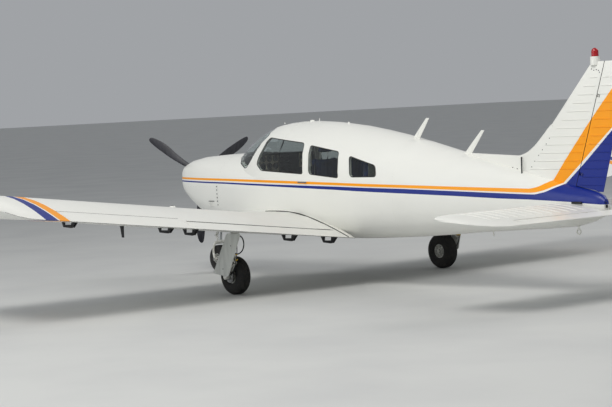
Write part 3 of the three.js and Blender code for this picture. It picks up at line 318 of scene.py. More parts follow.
def painted_sheet(name, pattern, rivets):
    """Gloss two-pack paint, sprayed on riveted aluminium sheet: a clean, faintly uneven gloss with rows of
    rivets, a little grime low down, and stripes masked by hand."""
    material, tree, shader, place = start_material(
        name, Coat_Weight=0.1, Coat_Roughness=0.2, Specular_IOR_Level=0.4)
    x, y, z = add(tree, "SeparateXYZ", {"Vector": place}).outputs
    station = sums(tree, "ADD", x, MIDDLE * MM)
    low_down = ranged(tree, z, 1.0, 0.55, 0, 0.22)
    grime = sums(tree, "MULTIPLY", noise(tree, place, 0.12, 6, (0.35, 1, 1)), low_down)
    shade = mixed(tree, grime, WHITE, colour("#8F8C80"))
    cloud = ranged(tree, noise(tree, place, 0.5, 4), 0.35, 0.65, 0, 0.10)
    paint = mixed(tree, cloud, shade, colour("#DCDDD6"))
    if pattern == "body":
        share = sums(tree, "DIVIDE", station, LENGTH * MM)
        edges = {key: edge_line(tree, share, points) for key, points in STRIPE.items()}
        for key, tint in TINTS.items():
            band = between(tree, z, edges[f"{key}_bottom"], edges[f"{key}_top"])
            paint = mixed(tree, band, paint, tint)
    if pattern == "wing":
        span = sums(tree, "ABSOLUTE", y)
        share = ranged(tree, station, WING_CREST, WING["trailing"] * MM, 0, 1)
        for key, tint in TINTS.items():
            low, high = (
                sums(tree, "MULTIPLY_ADD", share, aft - fore, fore) for fore, aft in TIP_BANDS[key])
            paint = mixed(tree, between(tree, span, low, high), paint, tint)
    rough = ranged(tree, noise(tree, place, 0.07, 5), 0.3, 0.7, 0.3, 0.42)
    feed(tree, shader, Base_Color=paint, Roughness=rough)
    rows = ()
    if rivets == "body":
        angle = sums(tree, "ARCTAN2", sums(tree, "SUBTRACT", z, BODY_AXIS), y)
        girth = sums(tree, "MULTIPLY", angle, BODY_RADIUS)
        rows = ((station, girth, ROW_PITCH["frame"]), (girth, station, ROW_PITCH["stringer"]))
    elif rivets == "wing":
        rows = ((y, station, ROW_PITCH["wing_rib"]), (station, y, ROW_PITCH["spar"]))
    elif rivets == "fin":
        rows = ((z, station, ROW_PITCH["fin_rib"]),)
    height = ranged(tree, noise(tree, place, 0.35, 2), 0, 1, 0, 0.5)
    for row in rows:
        height = sums(tree, "MAXIMUM", height, rivet_rows(tree, *row))
    bumped(tree, shader, height, 0.0012, 0.6)
    return material


def plain_finish(name, base, worn, size, rough, metal=0.0, bump=0.0004, stretch=None, **values):
    """Two colours and two roughnesses, mixed over blotches of one size in metres, with a finer grain."""
    material, tree, shader, place = start_material(name, Metallic=metal, **values)
    blotch = noise(tree, place, size, 5, stretch)
    paint = mixed(tree, ranged(tree, blotch, 0.4, 0.7, 0, 1), colour(base), colour(worn))
    feed(tree, shader, Base_Color=paint, Roughness=ranged(tree, blotch, 0.3, 0.7, *rough))
    bumped(tree, shader, noise(tree, place, size / 6, 3, stretch), bump)
    return material


def woven_cloth(name, base, worn):
    """Wool upholstery cloth, woven: fine crossing threads with a soft bloom. The threads are drawn 3 mm
    apart, about twice their real pitch, so that they show."""
    material, tree, shader, place = start_material(
        name, Sheen_Weight=0.35, Sheen_Roughness=0.4, Specular_IOR_Level=0.25)
    pitch = 0.003
    x, y, z = add(tree, "SeparateXYZ", {"Vector": place}).outputs
    aside = sums(tree, "PINGPONG", y, pitch / 2)
    ahead = sums(tree, "PINGPONG", sums(tree, "ADD", x, z), pitch / 2)
    weave = sums(tree, "DIVIDE", sums(tree, "ADD", aside, ahead), pitch)
    blotch = ranged(tree, noise(tree, place, 0.09, 4), 0.35, 0.7, 0, 1)
    tone = mixed(tree, blotch, colour(base), colour(worn))
    shaded = mixed(tree, sums(tree, "MULTIPLY", weave, 0.3), tone, colour("#0A1026"))
    feed(tree, shader, Base_Color=shaded, Roughness=ranged(tree, weave, 0, 1, 0.95, 0.75))
    bumped(tree, shader, weave, 0.0008, 0.7)
    return material


def acrylic(name):
    """Cast acrylic sheet, polished: clear with a faint green-grey body and a few streaks from wiping."""
    material, tree, shader, place = start_material(name, Transmission_Weight=1.0, IOR=1.4)
    streaks = noise(tree, place, 0.05, 4, (0.3, 1, 2))
    tint = mixed(tree, streaks, colour("#EEF3F2"), colour("#DFE7E5"))
    feed(tree, shader, Base_Color=tint, Roughness=ranged(tree, streaks, 0.4, 0.75, 0.0, 0.006))
    return material


def heated_pipe(name):
    """Stainless exhaust tube, heat-tinted: straw and blue bands near the engine, sooty at the open end."""
    material, tree, shader, place = start_material(name, Metallic=1.0)
    height = add(tree, "SeparateXYZ", {"Vector": place}).outputs[2]
    ramp = add(tree, "ValToRGB", {"Fac": ranged(tree, height, 0.98, 0.6, 0, 1)})
    stops = ramp.color_ramp.elements
    stops[0].color = colour("#8A7458")
    stops[1].color = colour("#2C2926")
    for share, code in ((0.35, "#6A6F88"), (0.7, "#7C6A5A")):
        stops.new(share).color = colour(code)
    soot = ranged(tree, noise(tree, place, 0.02, 5), 0.3, 0.7, 0.3, 0.55)
    feed(tree, shader, Base_Color=ramp.outputs[0], Roughness=soot)
    return material


def beacon_glass(name):
    """Polycarbonate lens, moulded: deep red, clear, with fine ribs round it that catch the light."""
    material, tree, shader, place = start_material(
        name, Base_Color=colour("#D01020"), Transmission_Weight=0.45, Roughness=0.12, IOR=1.58)
    rings = {"wave_type": "RINGS", "rings_direction": "Z"}
    ribs = add(tree, "TexWave", {"Vector": place, "Scale": 60}, **rings).outputs["Fac"]
    bumped(tree, shader, ribs, 0.0006, 0.6)
    return material


MATERIALS = {
    "body": painted_sheet("white_enamel_with_side_stripe", "body", "body"),
    "cowl": painted_sheet("white_enamel_on_moulded_cowl", "body", None),
    "fin": painted_sheet("white_enamel_with_fin_stripe", "body", "fin"),
    "wing": painted_sheet("white_enamel_with_tip_bands", "wing", "wing"),
    "stab": painted_sheet("white_enamel_on_tailplane", None, None),
    # Polyurethane enamel on a steel forging: thick, glossy, with oily dirt in the low spots
    "gear": plain_finish(
        "white_enamel_on_forged_steel", "#E6E6E0", "#A9A69A", 0.05, (0.25, 0.45), Coat_Weight=0.2),
    # Pale grey enamel on flat sheet, with faint streaks down it
    "gear_door": plain_finish(
        "grey_enamel_on_flat_sheet", "#D9DBD6", "#C6C8C3", 0.1, (0.3, 0.42), stretch=(2, 2, 0.4)),
    # Hard chrome plate, ground: a mirror with faint rings
    "chrome": plain_finish(
        "hard_chrome_on_ground_steel", "#E4E6E8", "#C9CCCE", 0.03, (0.06, 0.16), 1.0, 0.00005, (1, 1, 12)),
    # Cast magnesium, painted silver: a soft grain with brake dust
    "rim": plain_finish(
        "silver_enamel_on_cast_wheel", "#D6D7D2", "#9A9890", 0.02, (0.35, 0.55), 0.35, 0.0003),
    # Machined steel, bare: bright, with darker blotches from heat
    "disc": plain_finish("turned_steel_disc", "#A4A6A8", "#6E6A66", 0.02, (0.25, 0.45), 1.0, 0.0001),
    # Vulcanised rubber, moulded: near black, with pale dust in its grain
    "tyre": plain_finish("moulded_tyre_rubber", "#141416", "#34322E", 0.03, (0.7, 0.95), 0.0, 0.0006),
    # Extruded rubber seal: matt black with a dull shine on its round edge. Also the flap gap's strip of
    # painted shade
    "seal": plain_finish("black_rubber_and_painted_shade", "#0B0B0D", "#1B1B1D", 0.02, (0.45, 0.65)),
    # Polyurethane erosion paint on the blades: satin black, scuffed grey by grit
    "blade": plain_finish(
        "satin_black_blade_paint", "#25262E", "#3C3D44", 0.04, (0.38, 0.55), 0.0, 0.0003, (1, 1, 0.3)),
    # Cadmium-plated steel: a dull grey metal with darker spots
    "steel": plain_finish("plated_steel_fittings", "#9A9C9C", "#6C6A62", 0.01, (0.3, 0.5), 1.0, 0.0001),
    # Black enamel on small fittings: satin, faintly mottled. Also painted shade on gap walls, wing brackets
    # and tail slots
    "black": plain_finish("black_enamel_and_painted_shade", "#101114", "#232428", 0.02, (0.4, 0.6)),
    # Cast iron and aluminium of the engine: dark, oily and rough
    "engine": plain_finish("cast_engine_metal", "#54565A", "#2E2D2B", 0.03, (0.5, 0.75), 0.8, 0.001),
    # Black wrinkle paint on the instrument board and its hood: small even pimples, no shine
    "board": plain_finish("black_wrinkle_paint", "#1E1E21", "#2B2B2E", 0.004, (0.7, 0.85), 0.0, 0.0006),
    # Warm grey enamel, sprayed on the dials' plates: flat and softly mottled
    "plate": plain_finish("warm_grey_panel_enamel", "#C4BAA6", "#A89E8C", 0.03, (0.45, 0.6)),
    # Printed dial card behind glass: black, even, with a slight gloss
    "dial": plain_finish("black_dial_card", "#08080A", "#101013", 0.02, (0.12, 0.2)),
    # White paint of marks and needles: matt and bright
    "mark": plain_finish("white_dial_paint", "#F2F0E6", "#DAD6C8", 0.004, (0.5, 0.6)),
    # Vinyl headlining and side trim, moulded: pale grey with a soft leather grain
    "lining": plain_finish("pale_grey_moulded_trim", "#A9A79E", "#8D8B83", 0.01, (0.6, 0.75), 0.0, 0.0005),
    # Yellow enamel on steel clamps: satin, a little darkened
    "yellow": plain_finish("yellow_enamel_clamp", "#D8B020", "#A98A1C", 0.01, (0.4, 0.55)),
    "cloth": woven_cloth("navy_woven_seat_cloth", "#1B2850", "#2B3B6B"),
    "glass": acrylic("polished_clear_acrylic"),
    "pipe": heated_pipe("heat_tinted_exhaust_steel"),
    "lamp": beacon_glass("red_ribbed_lens"),
    # Concrete floor, trowelled: pale, matt, slightly cloudy
    "floor": plain_finish("pale_trowelled_floor", "#C9CAC8", "#C2C3C2", 1.5, (0.8, 0.9), 0.0, 0.0002),
}

# Analytic skins, which give the faceted solids their smooth normals


def column(table, key, station):
    """Smooth value of one column of a table between its rows, never past the rows' own values."""
    last = len(table) - 1
    row = 0
    while row < last - 1 and table[row + 1][0] < station:
        row += 1

    def slope(i):
        return (table[i + 1][key] - table[i][key]) / (table[i + 1][0] - table[i][0])

    def tangent(i):
        if i <= 0 or i >= last:
            return slope(0 if i <= 0 else last - 1)
        a, b = slope(i - 1), slope(i)
        return 0 if a * b <= 0 else 2 * a * b / (a + b)

    width = table[row + 1][0] - table[row][0]
    t = min(max((station - table[row][0]) / width, 0), 1)
    ends = table[row][key] * (2 * t ** 3 - 3 * t ** 2 + 1) + table[row + 1][key] * (3 * t ** 2 - 2 * t ** 3)
    return ends + width * (tangent(row) * (t ** 3 - 2 * t ** 2 + t) + tangent(row + 1) * (t ** 3 - t ** 2))


@functools.lru_cache(maxsize=None)
def section(which, station):
    return tuple(column(BODY_TABLES[which], key, station) for key in range(1, 7))


def fullness(which, station, y, height):
    """How far out a point lies in its body section: 1 is on the skin."""
    half, bottom, waist, top, low_power, high_power = section(which, round(station, 2))
    rise = height - waist
    reach, power = (top - waist, high_power) if rise >= 0 else (waist - bottom, low_power)
    value = abs(y / half) ** power + abs(rise / reach) ** power
    return value ** (1 / power) if value else 0.0


SKIN_BAND = 0.14
INNER_SKIN = 0.958
STEP = 0.5
END_REACH = 3


@functools.lru_cache(maxsize=None)
def body_slope(which, station, y, height):
    here = fullness(which, station, y, height)
    slopes = [
        fullness(which, station + STEP, y, height) - fullness(which, station - STEP, y, height),
        fullness(which, station, y + STEP, height) - fullness(which, station, y - STEP, height),
        fullness(which, station, y, height + STEP) - fullness(which, station, y, height - STEP),
    ]
    return here, Vector(slopes).normalized()


def on_body(which):
    """The normal of a body skin at a point near it, or nothing where the point is off that skin."""
    first, last = BODY_TABLES[which][0][0], BODY_TABLES[which][-1][0]

    def normal(point, facing):
        station = point.x / MM + MIDDLE
        if not first - END_REACH < station < last + END_REACH:
            return None
        spot = [round(v, 2) for v in (station, point.y / MM, point.z / MM - DATUM)]
        here, slope = body_slope(which, *spot)
        if abs(here - 1) > SKIN_BAND:
            return None
        return slope if slope.dot(facing) > 0 else -slope

    return normal


def airfoil(t, side, thickness, camber):
    bare = 0.2969 * math.sqrt(t) - 0.126 * t - 0.3516 * t ** 2 + 0.2843 * t ** 3 - 0.1036 * t ** 4
    return side * 5 * thickness * bare + 4 * camber * t * (1 - t) * (1.15 - 0.3 * t)


def row_at(rows, span):
    """A table's row at any span, straight between its rows."""
    span = min(max(span, rows[0][0]), rows[-1][0])
    k = next(i for i in range(1, len(rows)) if span <= rows[i][0])
    t = (span - rows[k - 1][0]) / (rows[k][0] - rows[k - 1][0])
    return [a + (b - a) * t for a, b in zip(rows[k - 1], rows[k])]


def around(theta):
    """Share of the chord and side of the section at an angle, from 0 at the upper trailing edge."""
    return (1 + math.cos(theta)) / 2, 1 if theta <= math.pi else -1


def wing_point(theta, span, side=1):
    t, face = around(theta)
    _, leading, trailing, factor, crown, lift = row_at(WING_ROWS, span)
    chord = trailing - leading
    height = airfoil(t, face, WING["thickness"] * factor, WING["camber"] * min(1, factor + 0.1))
    if face > 0:
        height *= 1 + (crown - 1) * min(1, 1.7 * t)
    station = leading + t * chord
    share = (WING["trailing"] - station) / WING["chord"]
    base = WING["trailing_z"] + (span - WING["trailing_y"]) * WING["dihedral"]
    return at(station, side * span, base + WING["rise"] * min(share, 1.05) + height * chord + lift + DATUM)


def fin_point(theta, height, side=1):
    """A point on the fin's skin. It takes a side only because the other skins' functions do."""
    t, face = around(theta)
    _, leading, trailing, thickness = row_at(FIN_ROWS, height)
    half = max(abs(airfoil(t, 1, 1, 0)) * thickness, 3)
    return at(leading + t * (trailing - leading), face * half, height + DATUM)


def stab_point(theta, span, side=1):
    t, face = around(theta)
    _, leading, trailing, thickness = row_at(STAB_ROWS, span)
    station = leading + t * (trailing - leading)
    fall = (station - STAB["leading"]) / (STAB["trailing"] - STAB["leading"])
    middle = STAB["front_z"] + (STAB["back_z"] - STAB["front_z"]) * fall
    half = max(abs(airfoil(t, 1, 1, 0)) * thickness, 2.5)
    return at(station, side * span, middle + face * half + DATUM)


SKIN_NEAR = 0.014
TURN_STEP = 0.01
SPAN_STEP = 0.4
TOO_FLAT = 1e-12


def on_section(point_at, rows, span_axis, face_axis):
    """The normal of a wing-like skin at a point near it, or nothing where the point is off that skin."""

    def normal(point, facing):
        span = point[span_axis] / MM - (DATUM if span_axis == 2 else 0)
        side = -1 if span_axis == 1 and span < 0 else 1
        span = min(max(abs(span), rows[0][0]), rows[-1][0] - STEP)
        _, leading, trailing = row_at(rows, span)[:3]
        t = min(max((point.x / MM + MIDDLE - leading) / (trailing - leading), 0), 1)
        theta = math.acos(2 * t - 1)
        if facing[face_axis] < 0:
            theta = 2 * math.pi - theta
        here = point_at(theta, span, side)
        if (here - point).length > SKIN_NEAR:
            return None
        ahead = point_at(theta + TURN_STEP, span, side) - point_at(theta - TURN_STEP, span, side)
        slope = ahead.cross(point_at(theta, span + SPAN_STEP, side) - here)
        if slope.length < TOO_FLAT:
            return None
        slope.normalize()
        return slope if slope.dot(facing) > 0 else -slope

    return normal


BODY_SKINS = (on_body("hull"), on_body("canopy"))
WING_SKINS = (on_section(wing_point, WING_ROWS, 1, 2),)
FIN_SKINS = (on_section(fin_point, FIN_ROWS, 2, 1),)
STAB_SKINS = (on_section(stab_point, STAB_ROWS, 1, 2),)
NEAR_FACE = 0.8
NEAR_CORNER = 0.55
CREASE = math.cos(math.radians(38))


def corner_normals(bm, skins):
    """A normal for each face corner: the skin's own where the face lies on it, or else a mean over the faces
    about that corner that turn less than a crease."""
    matched = {}
    for face in bm.faces:
        found = [(n.dot(face.normal), skin) for skin in skins
                 for n in [skin(face.calc_center_median(), face.normal)] if n is not None]
        if found and max(found, key=lambda f: f[0])[0] > NEAR_FACE:
            matched[face] = max(found, key=lambda f: f[0])[1]
    normals = []
    for face in bm.faces:
        for corner in face.loops:
            normal = None
            if face in matched:
                normal = matched[face](corner.vert.co, face.normal)
                if normal is not None and normal.dot(face.normal) < NEAR_CORNER:
                    normal = None
            if normal is None:
                near = [f for f in corner.vert.link_faces if f.normal.dot(face.normal) > CREASE]
                normal = sum((f.normal * f.calc_area() for f in near), Vector()).normalized()
            normals.append(normal if normal.length > 0.5 else face.normal.copy())
    return normals, matched


# Making pieces


def body_of(node):
    return NODES[node]["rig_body"]


def finish_piece(name, bm, materials, body, crease=35.0, normals=None):
    """Makes the object from its mesh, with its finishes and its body."""
    mesh = bpy.data.meshes.new(name)
    bm.to_mesh(mesh)
    bm.free()
    for material in materials:
        mesh.materials.append(MATERIALS[material])
    mesh.shade_smooth()
    if normals is None:
        mesh.set_sharp_from_angle(angle=math.radians(crease))
    else:
        mesh.normals_split_custom_set([tuple(n) for n in normals])
    obj = bpy.data.objects.new(name, mesh)
    bpy.context.scene.collection.objects.link(obj)
    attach(obj, body)
    return obj


def dressed(node, skins, materials, paint=None, seal=None):
    """A merged, smooth-shaded copy that stands for a solid. The paint rule gives each face its finish."""
    bm = bmesh.new()
    bm.from_mesh(NODES[node].data)
    bmesh.ops.remove_doubles(bm, verts=bm.verts, dist=1e-5)
    bm.normal_update()
    if seal:
        outer = [f for f in bm.faces if faces_out(f, skins)]
        rim = bmesh.ops.inset_region(
            bm, faces=outer, thickness=seal, use_even_offset=False, use_boundary=True)
        for face in rim["faces"]:
            face.material_index = 1
        bm.normal_update()
    normals, matched = corner_normals(bm, skins)
    if paint:
        for face in bm.faces:
            face.material_index = paint(face, face in matched)
    copy = finish_piece(node + "_skin", bm, materials, body_of(node), normals=normals)
    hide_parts(node)


CABIN_MIDDLE = 1.1
LIP_AREA = 0.012


def faces_out(face, skins):
    """Whether a pane's face lies on an outer skin and looks away from the cabin's middle."""
    centre = face.calc_center_median()
    for skin in skins:
        normal = skin(centre, face.normal)
        if normal is not None and normal.dot(face.normal) > NEAR_FACE:
            away = Vector((0, centre.y, max(centre.z - CABIN_MIDDLE, 0) + 0.2))
            return face.normal.dot(away) > 0
    return False


def is_lining(face, matched):
    """1 for a face of the cabin's inner wall, floor or bulkheads, 0 for its outer skin and its lips."""
    if not matched and face.calc_area() < LIP_AREA:
        return 0
    centre = face.calc_center_median()
    station = centre.x / MM + MIDDLE
    spot = (round(centre.y / MM, 1), round(centre.z / MM - DATUM, 1))
    out = fullness("hull", round(min(max(station, HULL[0][0]), HULL[-1][0]), 1), *spot)
    if CANOPY[0][0] < station < CANOPY[-1][0] and spot[1] > CANOPY[0][3]:
        out = min(out, fullness("canopy", round(station, 1), *spot))
    return 1 if out < INNER_SKIN else 0


def is_cowl_inside(face, matched):
    """0 for the cowl's outer skin and its front face, 1 for its inside."""
    return 0 if matched or face.normal.x < -0.7 else 1


def paint_new(verts, finish):
    for face in {f for v in verts for f in v.link_faces}:
        face.material_index = finish


def rounded(bm, edges, width, segments):
    """Rounds edges over to a width."""
    bmesh.ops.bevel(
        bm, geom=edges, offset=width, segments=segments, affect="EDGES", profile=0.5, material=-1)


def aimed(start, end):
    """A placing at a start point, with its Z axis towards the end point."""
    reach = Vector(end) - Vector(start)
    return Matrix.Translation(start) @ reach.to_track_quat("Z", "Y").to_matrix().to_4x4(), reach.length


def rod(bm, start, end, radius, end_radius=None, sides=28, finish=0):
    """A round bar between two points."""
    turn, length = aimed(start, end)
    placing = turn @ Matrix.Translation((0, 0, length / 2))
    tip = radius if end_radius is None else end_radius
    made = bmesh.ops.create_cone(bm, cap_ends=True, segments=sides, radius1=radius, radius2=tip,
                                 depth=length, matrix=placing)
    paint_new(made["verts"], finish)


def block(bm, low, high, round_by, finish=0):
    """A block between two corners with rounded edges."""
    low, high = Vector(low), Vector(high)
    placing = Matrix.Translation((low + high) / 2) @ Matrix.Diagonal((*(high - low), 1))
    made = bmesh.ops.create_cube(bm, size=1, matrix=placing)
    edges = list({e for v in made["verts"] for e in v.link_edges})
    paint_new(made["verts"], finish)
    if round_by:
        rounded(bm, edges, round_by, 3)


def spun(bm, profile, placing, steps, finish=0):
    """A turned shape about the placing's Z axis. The closed profile holds pairs: place along it, radius."""
    verts = [bm.verts.new((radius, 0, along)) for along, radius in profile]
    edges = [bm.edges.new(pair) for pair in zip(verts, verts[1:] + verts[:1])]
    made = bmesh.ops.spin(bm, geom=verts + edges, cent=(0, 0, 0), axis=(0, 0, 1), dvec=(0, 0, 0),
                          angle=2 * math.pi, steps=steps, use_merge=True)
    last = [g for g in made["geom_last"] if isinstance(g, bmesh.types.BMVert)]
    faces = {f for v in verts + last for f in v.link_faces}
    reached = set(faces)
    while faces:
        faces = {n for f in faces for e in f.edges for n in e.link_faces} - reached
        reached |= faces
    points = list({v for f in reached for v in f.verts})
    bmesh.ops.remove_doubles(bm, verts=points, dist=1e-6)
    reached = [f for f in reached if f.is_valid]
    bmesh.ops.recalc_face_normals(bm, faces=reached)
    bmesh.ops.transform(bm, matrix=placing, verts=list({v for f in reached for v in f.verts}))
    for face in reached:
        face.material_index = finish


def run(bm, placings, sides, finish=0):
    """A closed bar with a round section, carried through placings, each of which sizes and turns it."""
    ring = bmesh.ops.create_circle(bm, cap_ends=True, radius=1, segments=sides)["verts"]
    bmesh.ops.transform(bm, matrix=placings[0], verts=ring)
    every = list(ring)
    edges = list({e for v in ring for e in v.link_edges})
    for before, after in zip(placings, placings[1:]):
        made = bmesh.ops.extrude_edge_only(bm, edges=edges)["geom"]
        ring = [g for g in made if isinstance(g, bmesh.types.BMVert)]
        ends = set(ring)
        edges = [g for g in made if isinstance(g, bmesh.types.BMEdge) and ends.issuperset(g.verts)]
        bmesh.ops.transform(bm, matrix=after @ before.inverted(), verts=ring)
        every += ring
    bmesh.ops.holes_fill(bm, edges=edges, sides=0)
    faces = list({f for v in every for f in v.link_faces})
    bmesh.ops.recalc_face_normals(bm, faces=faces)
    paint_new(every, finish)


def smooth_path(points, steps):
    """Points on one smooth curve through a few others."""
    points = [Vector(p) for p in points]
    ends = [2 * points[0] - points[1]] + points + [2 * points[-1] - points[-2]]
    path = []
    for k in range(1, len(ends) - 2):
        a, b, c, d = ends[k - 1:k + 3]
        for i in range(steps):
            t = i / steps
            path.append(0.5 * (2 * b + (c - a) * t + (2 * a - 5 * b + 4 * c - d) * t ** 2
                               + (3 * b - a - 3 * c + d) * t ** 3))
    return path + [points[-1]]


def hose(bm, points, radius, steps=6, sides=10, finish=0, flat=1.0):
    """A bar along a smooth curve. Flat squeezes its section across the curve's own side."""
    path = smooth_path(points, steps)
    size = Matrix.Diagonal((radius, radius * flat, radius, 1))
    placings = []
    for k, point in enumerate(path):
        ahead = path[min(k + 1, len(path) - 1)] - path[max(k - 1, 0)]
        turn = ahead.to_track_quat("Z", "Y").to_matrix().to_4x4()
        placings.append(Matrix.Translation(point) @ turn @ size)
    run(bm, placings, sides, finish)


def plate(bm, outline, low, high, edge=0.0, finish=0):
    """A flat plate with an outline by station and height, from one place across to another."""
    verts = [bm.verts.new(at(station, low, height)) for station, height in outline]
    made = bmesh.ops.extrude_face_region(bm, geom=[bm.faces.new(verts)])["geom"]
    moved = [g for g in made if isinstance(g, bmesh.types.BMVert)]
    bmesh.ops.translate(bm, verts=moved, vec=(0, (high - low) * MM, 0))
    faces = {f for v in moved for f in v.link_faces}
    faces |= {n for f in faces for e in f.edges for n in e.link_faces}
    bmesh.ops.recalc_face_normals(bm, faces=list(faces))
    for face in faces:
        face.material_index = finish
    if edge:
        rounded(bm, [e for e in {e for f in faces for e in f.edges} if e.calc_face_angle(0) > 0.9], edge, 2)


def mirrored(bm):
    """Turns a starboard piece into its port twin."""
    bmesh.ops.transform(bm, matrix=Matrix.Diagonal((1, -1, 1, 1)), verts=bm.verts)
    bmesh.ops.reverse_faces(bm, faces=bm.faces)


def paired(name, make, materials, body, crease=35.0):
    """A starboard piece and its port twin. A body name with a star takes the side's name."""
    for side in SIDES:
        bm = bmesh.new()
        make(bm)
        if side == "left":
            mirrored(bm)
        finish_piece(f"{name}_{side}", bm, materials, body.replace("*", side), crease)


def single(name, make, materials, body, crease=35.0):
    bm = bmesh.new()
    make(bm)
    return finish_piece(name, bm, materials, body, crease)


# Body, wings and tail

# Solids with no curved skin. Columns: node, finish, slot. A star stands for each side
PLAIN_SOLIDS = (
    ("main_leg_*", "gear", "gear_paint"),
    ("main_gear_door_*", "gear_door", "door_paint"),
    ("nose_gear_door_*", "gear", "white_paint"),
    ("nose_leg", "gear", "gear_paint"),
    ("nose_fork", "gear", "gear_paint"),
    ("exhaust_pipe", "pipe", "pipe_steel"),
    ("engine_block", "engine", "engine_iron"),
    ("instrument_panel", "board", "panel_plastic"),
    ("pitot_mast", "black", "blade_paint"),
    ("spinner", "stab", "white_paint"),
)
BAY_START = 3200


def dress_solids():
    cabin = [n for n in NODES if n.startswith("cabin_") and n != "cabin_door_window"]
    for node in [*cabin, "windshield_frame", "baggage_door"]:
        dressed(node, BODY_SKINS, ("body", "lining"), is_lining)
    for node in ("cowl_upper", "cowl_lower"):
        dressed(node, BODY_SKINS, ("cowl", "black"), is_cowl_inside)
    dressed("tail_cone", BODY_SKINS, ("body",))
    # The wing's bay walls and hinge brackets take the black as painted shade.
    for node in [n for n in NODES if n.startswith(("wing_", "flap_", "aileron_"))]:
        dressed(node, WING_SKINS, ("wing", "black"), below_skin)
    # The walls along the rudder's hinge take the black as painted shade.
    dressed("fin", FIN_SKINS, ("fin", "black"), rudder_gap)
    dressed("rudder", FIN_SKINS, ("fin", "black"), rudder_gap)
    for node in ("stabilator", "anti_servo_tab"):
        dressed(node, STAB_SKINS, ("stab",))
    panes = [n for n in NODES if n.startswith(("windshield_l", "windshield_r", "window_"))]
    for node in [*panes, "cabin_door_window"]:
        dressed(node, BODY_SKINS, ("glass", "seal"), seal=0.011)
    for node, finish, slot in PLAIN_SOLIDS:
        for name in dict.fromkeys(node.replace("*", side) for side in SIDES):
            dressed(name, (), (finish,))


def below_skin(face, matched):
    """1 for hinge brackets below the wing and the walls of its flap and aileron bays, painted black as
    painted shade; 0 for skin.
    """
    centre = face.calc_center_median()
    station, span = centre.x / MM + MIDDLE, abs(centre.y) / MM
    if matched or station < BAY_START:
        return 0
    _, leading, trailing = row_at(WING_ROWS, span)[:3]
    t = min(max((station - leading) / (trailing - leading), 0), 1)
    under = wing_point(2 * math.pi - math.acos(2 * t - 1), span).z
    # Faces below the lower skin or facing fore or aft: painted shade.
    return 1 if centre.z < under - 0.004 or abs(face.normal.x) > 0.3 else 0


def rudder_gap(face, matched):
    """1 for the walls along the rudder's hinge, painted black as painted shade; 0 for the skin."""
    centre = face.calc_center_median()
    height = centre.z / MM - DATUM
    off = centre.x / MM + MIDDLE - hinge_station(height)
    inside = RUDDER_HINGE[0][0] - 30 < height < RUDDER_HINGE[1][0] + 20
    # The gap's walls: painted shade.
    return 1 if not matched and inside and abs(off) < 60 and abs(face.normal.x) > 0.4 else 0


# Wheels and brakes

MAIN_WHEEL = {"station": 3101, "y": 1583, "height": 212.35, "half": 77, "rim": 82}
NOSE_WHEEL = {"station": 643, "y": 0, "height": 172.85, "half": 62, "rim": 66}
TREAD_GAP = 0.2
# Tyre's outline. Columns: share of the half width, share of the way from the rim to the tread
TYRE_SIDE = (
    (0.7, 0), (0.8, 0.03), (0.9, 0.1), (0.97, 0.24), (1, 0.42), (0.99, 0.56), (0.95, 0.7), (0.87, 0.82),
    (0.76, 0.9), (0.64, 0.95), (0.56, 0.97))
CROWN = 1.2
GROOVE_PLACES = (0.46, 0.17)
# A groove's corners. Columns: place aside, depth
GROOVE = ((3.2, 0), (2.56, 5), (-2.56, 5), (-3.2, 0))
RIM_GAP = 0.3
RIM_WIDTH = 0.74
# Rim's outline. Columns: share of the half width, share of the radius
RIM_SIDE = (
    (0.985, 0.3), (0.985, 0.42), (0.55, 0.5), (0.5, 0.74), (0.62, 0.84), (0.9, 0.88), (1, 0.93), (1, 1.06),
    (0.93, 1.08), (0.9, 1), (0.5, 0.96))
RIM_BOLTS = 6


def wheel_placing(wheel):
    centre = at(wheel["station"], wheel["y"], wheel["height"])
    return Matrix.Translation(centre) @ Matrix.Rotation(-math.pi / 2, 4, "X")


def tyre(bm, wheel):
    """A ribbed tyre: two side walls, and a crowned tread with four grooves round it."""
    rim, half, outer = wheel["rim"], wheel["half"], wheel["height"] - TREAD_GAP
    side = [(share * half, rim + up * (outer - rim)) for share, up in TYRE_SIDE]
    for share in GROOVE_PLACES:
        crown = outer - CROWN * (share / 0.5) ** 2
        side += [(share * half + aside, crown - down) for aside, down in GROOVE]
    side.append((0, outer))
    profile = [(y * MM, r * MM) for y, r in side] + [(-y * MM, r * MM) for y, r in reversed(side[:-1])]
    spun(bm, profile, wheel_placing(wheel), 96)


def rim_profile(wheel):
    rim, edge = wheel["rim"] - RIM_GAP, RIM_WIDTH * wheel["half"]
    half = [(across * edge * MM, out * rim * MM) for across, out in RIM_SIDE]
    return half + [(-along, radius) for along, radius in reversed(half)]


def wheel_rim(bm, wheel):
    """A split casting with a flange on each side, a ring of through bolts, a hub and a valve."""
    placing = wheel_placing(wheel)
    spun(bm, rim_profile(wheel), placing, 72)
    edge, rim = RIM_WIDTH * wheel["half"] * MM, wheel["rim"] * MM
    for face in (1, -1):
        for k in range(RIM_BOLTS):
            a = 2 * math.pi * (k + 0.5) / RIM_BOLTS
            spot = Vector((0.62 * rim * math.cos(a), 0.62 * rim * math.sin(a), face * 0.5 * edge))
            tip = spot + Vector((0, 0, face * 0.012))
            rod(bm, placing @ spot, placing @ tip, 0.007, sides=6, finish=1)
        cap = Vector((0, 0, face * edge * 0.97))
        tip = cap + Vector((0, 0, face * 0.006))
        rod(bm, placing @ cap, placing @ tip, 0.3 * rim, 0.24 * rim, finish=1)
    valve = placing @ Vector((0.8 * rim, 0, 0.55 * edge))
    rod(bm, valve, placing @ Vector((0.74 * rim, 0, 0.95 * edge)), 0.0035, sides=10, finish=1)


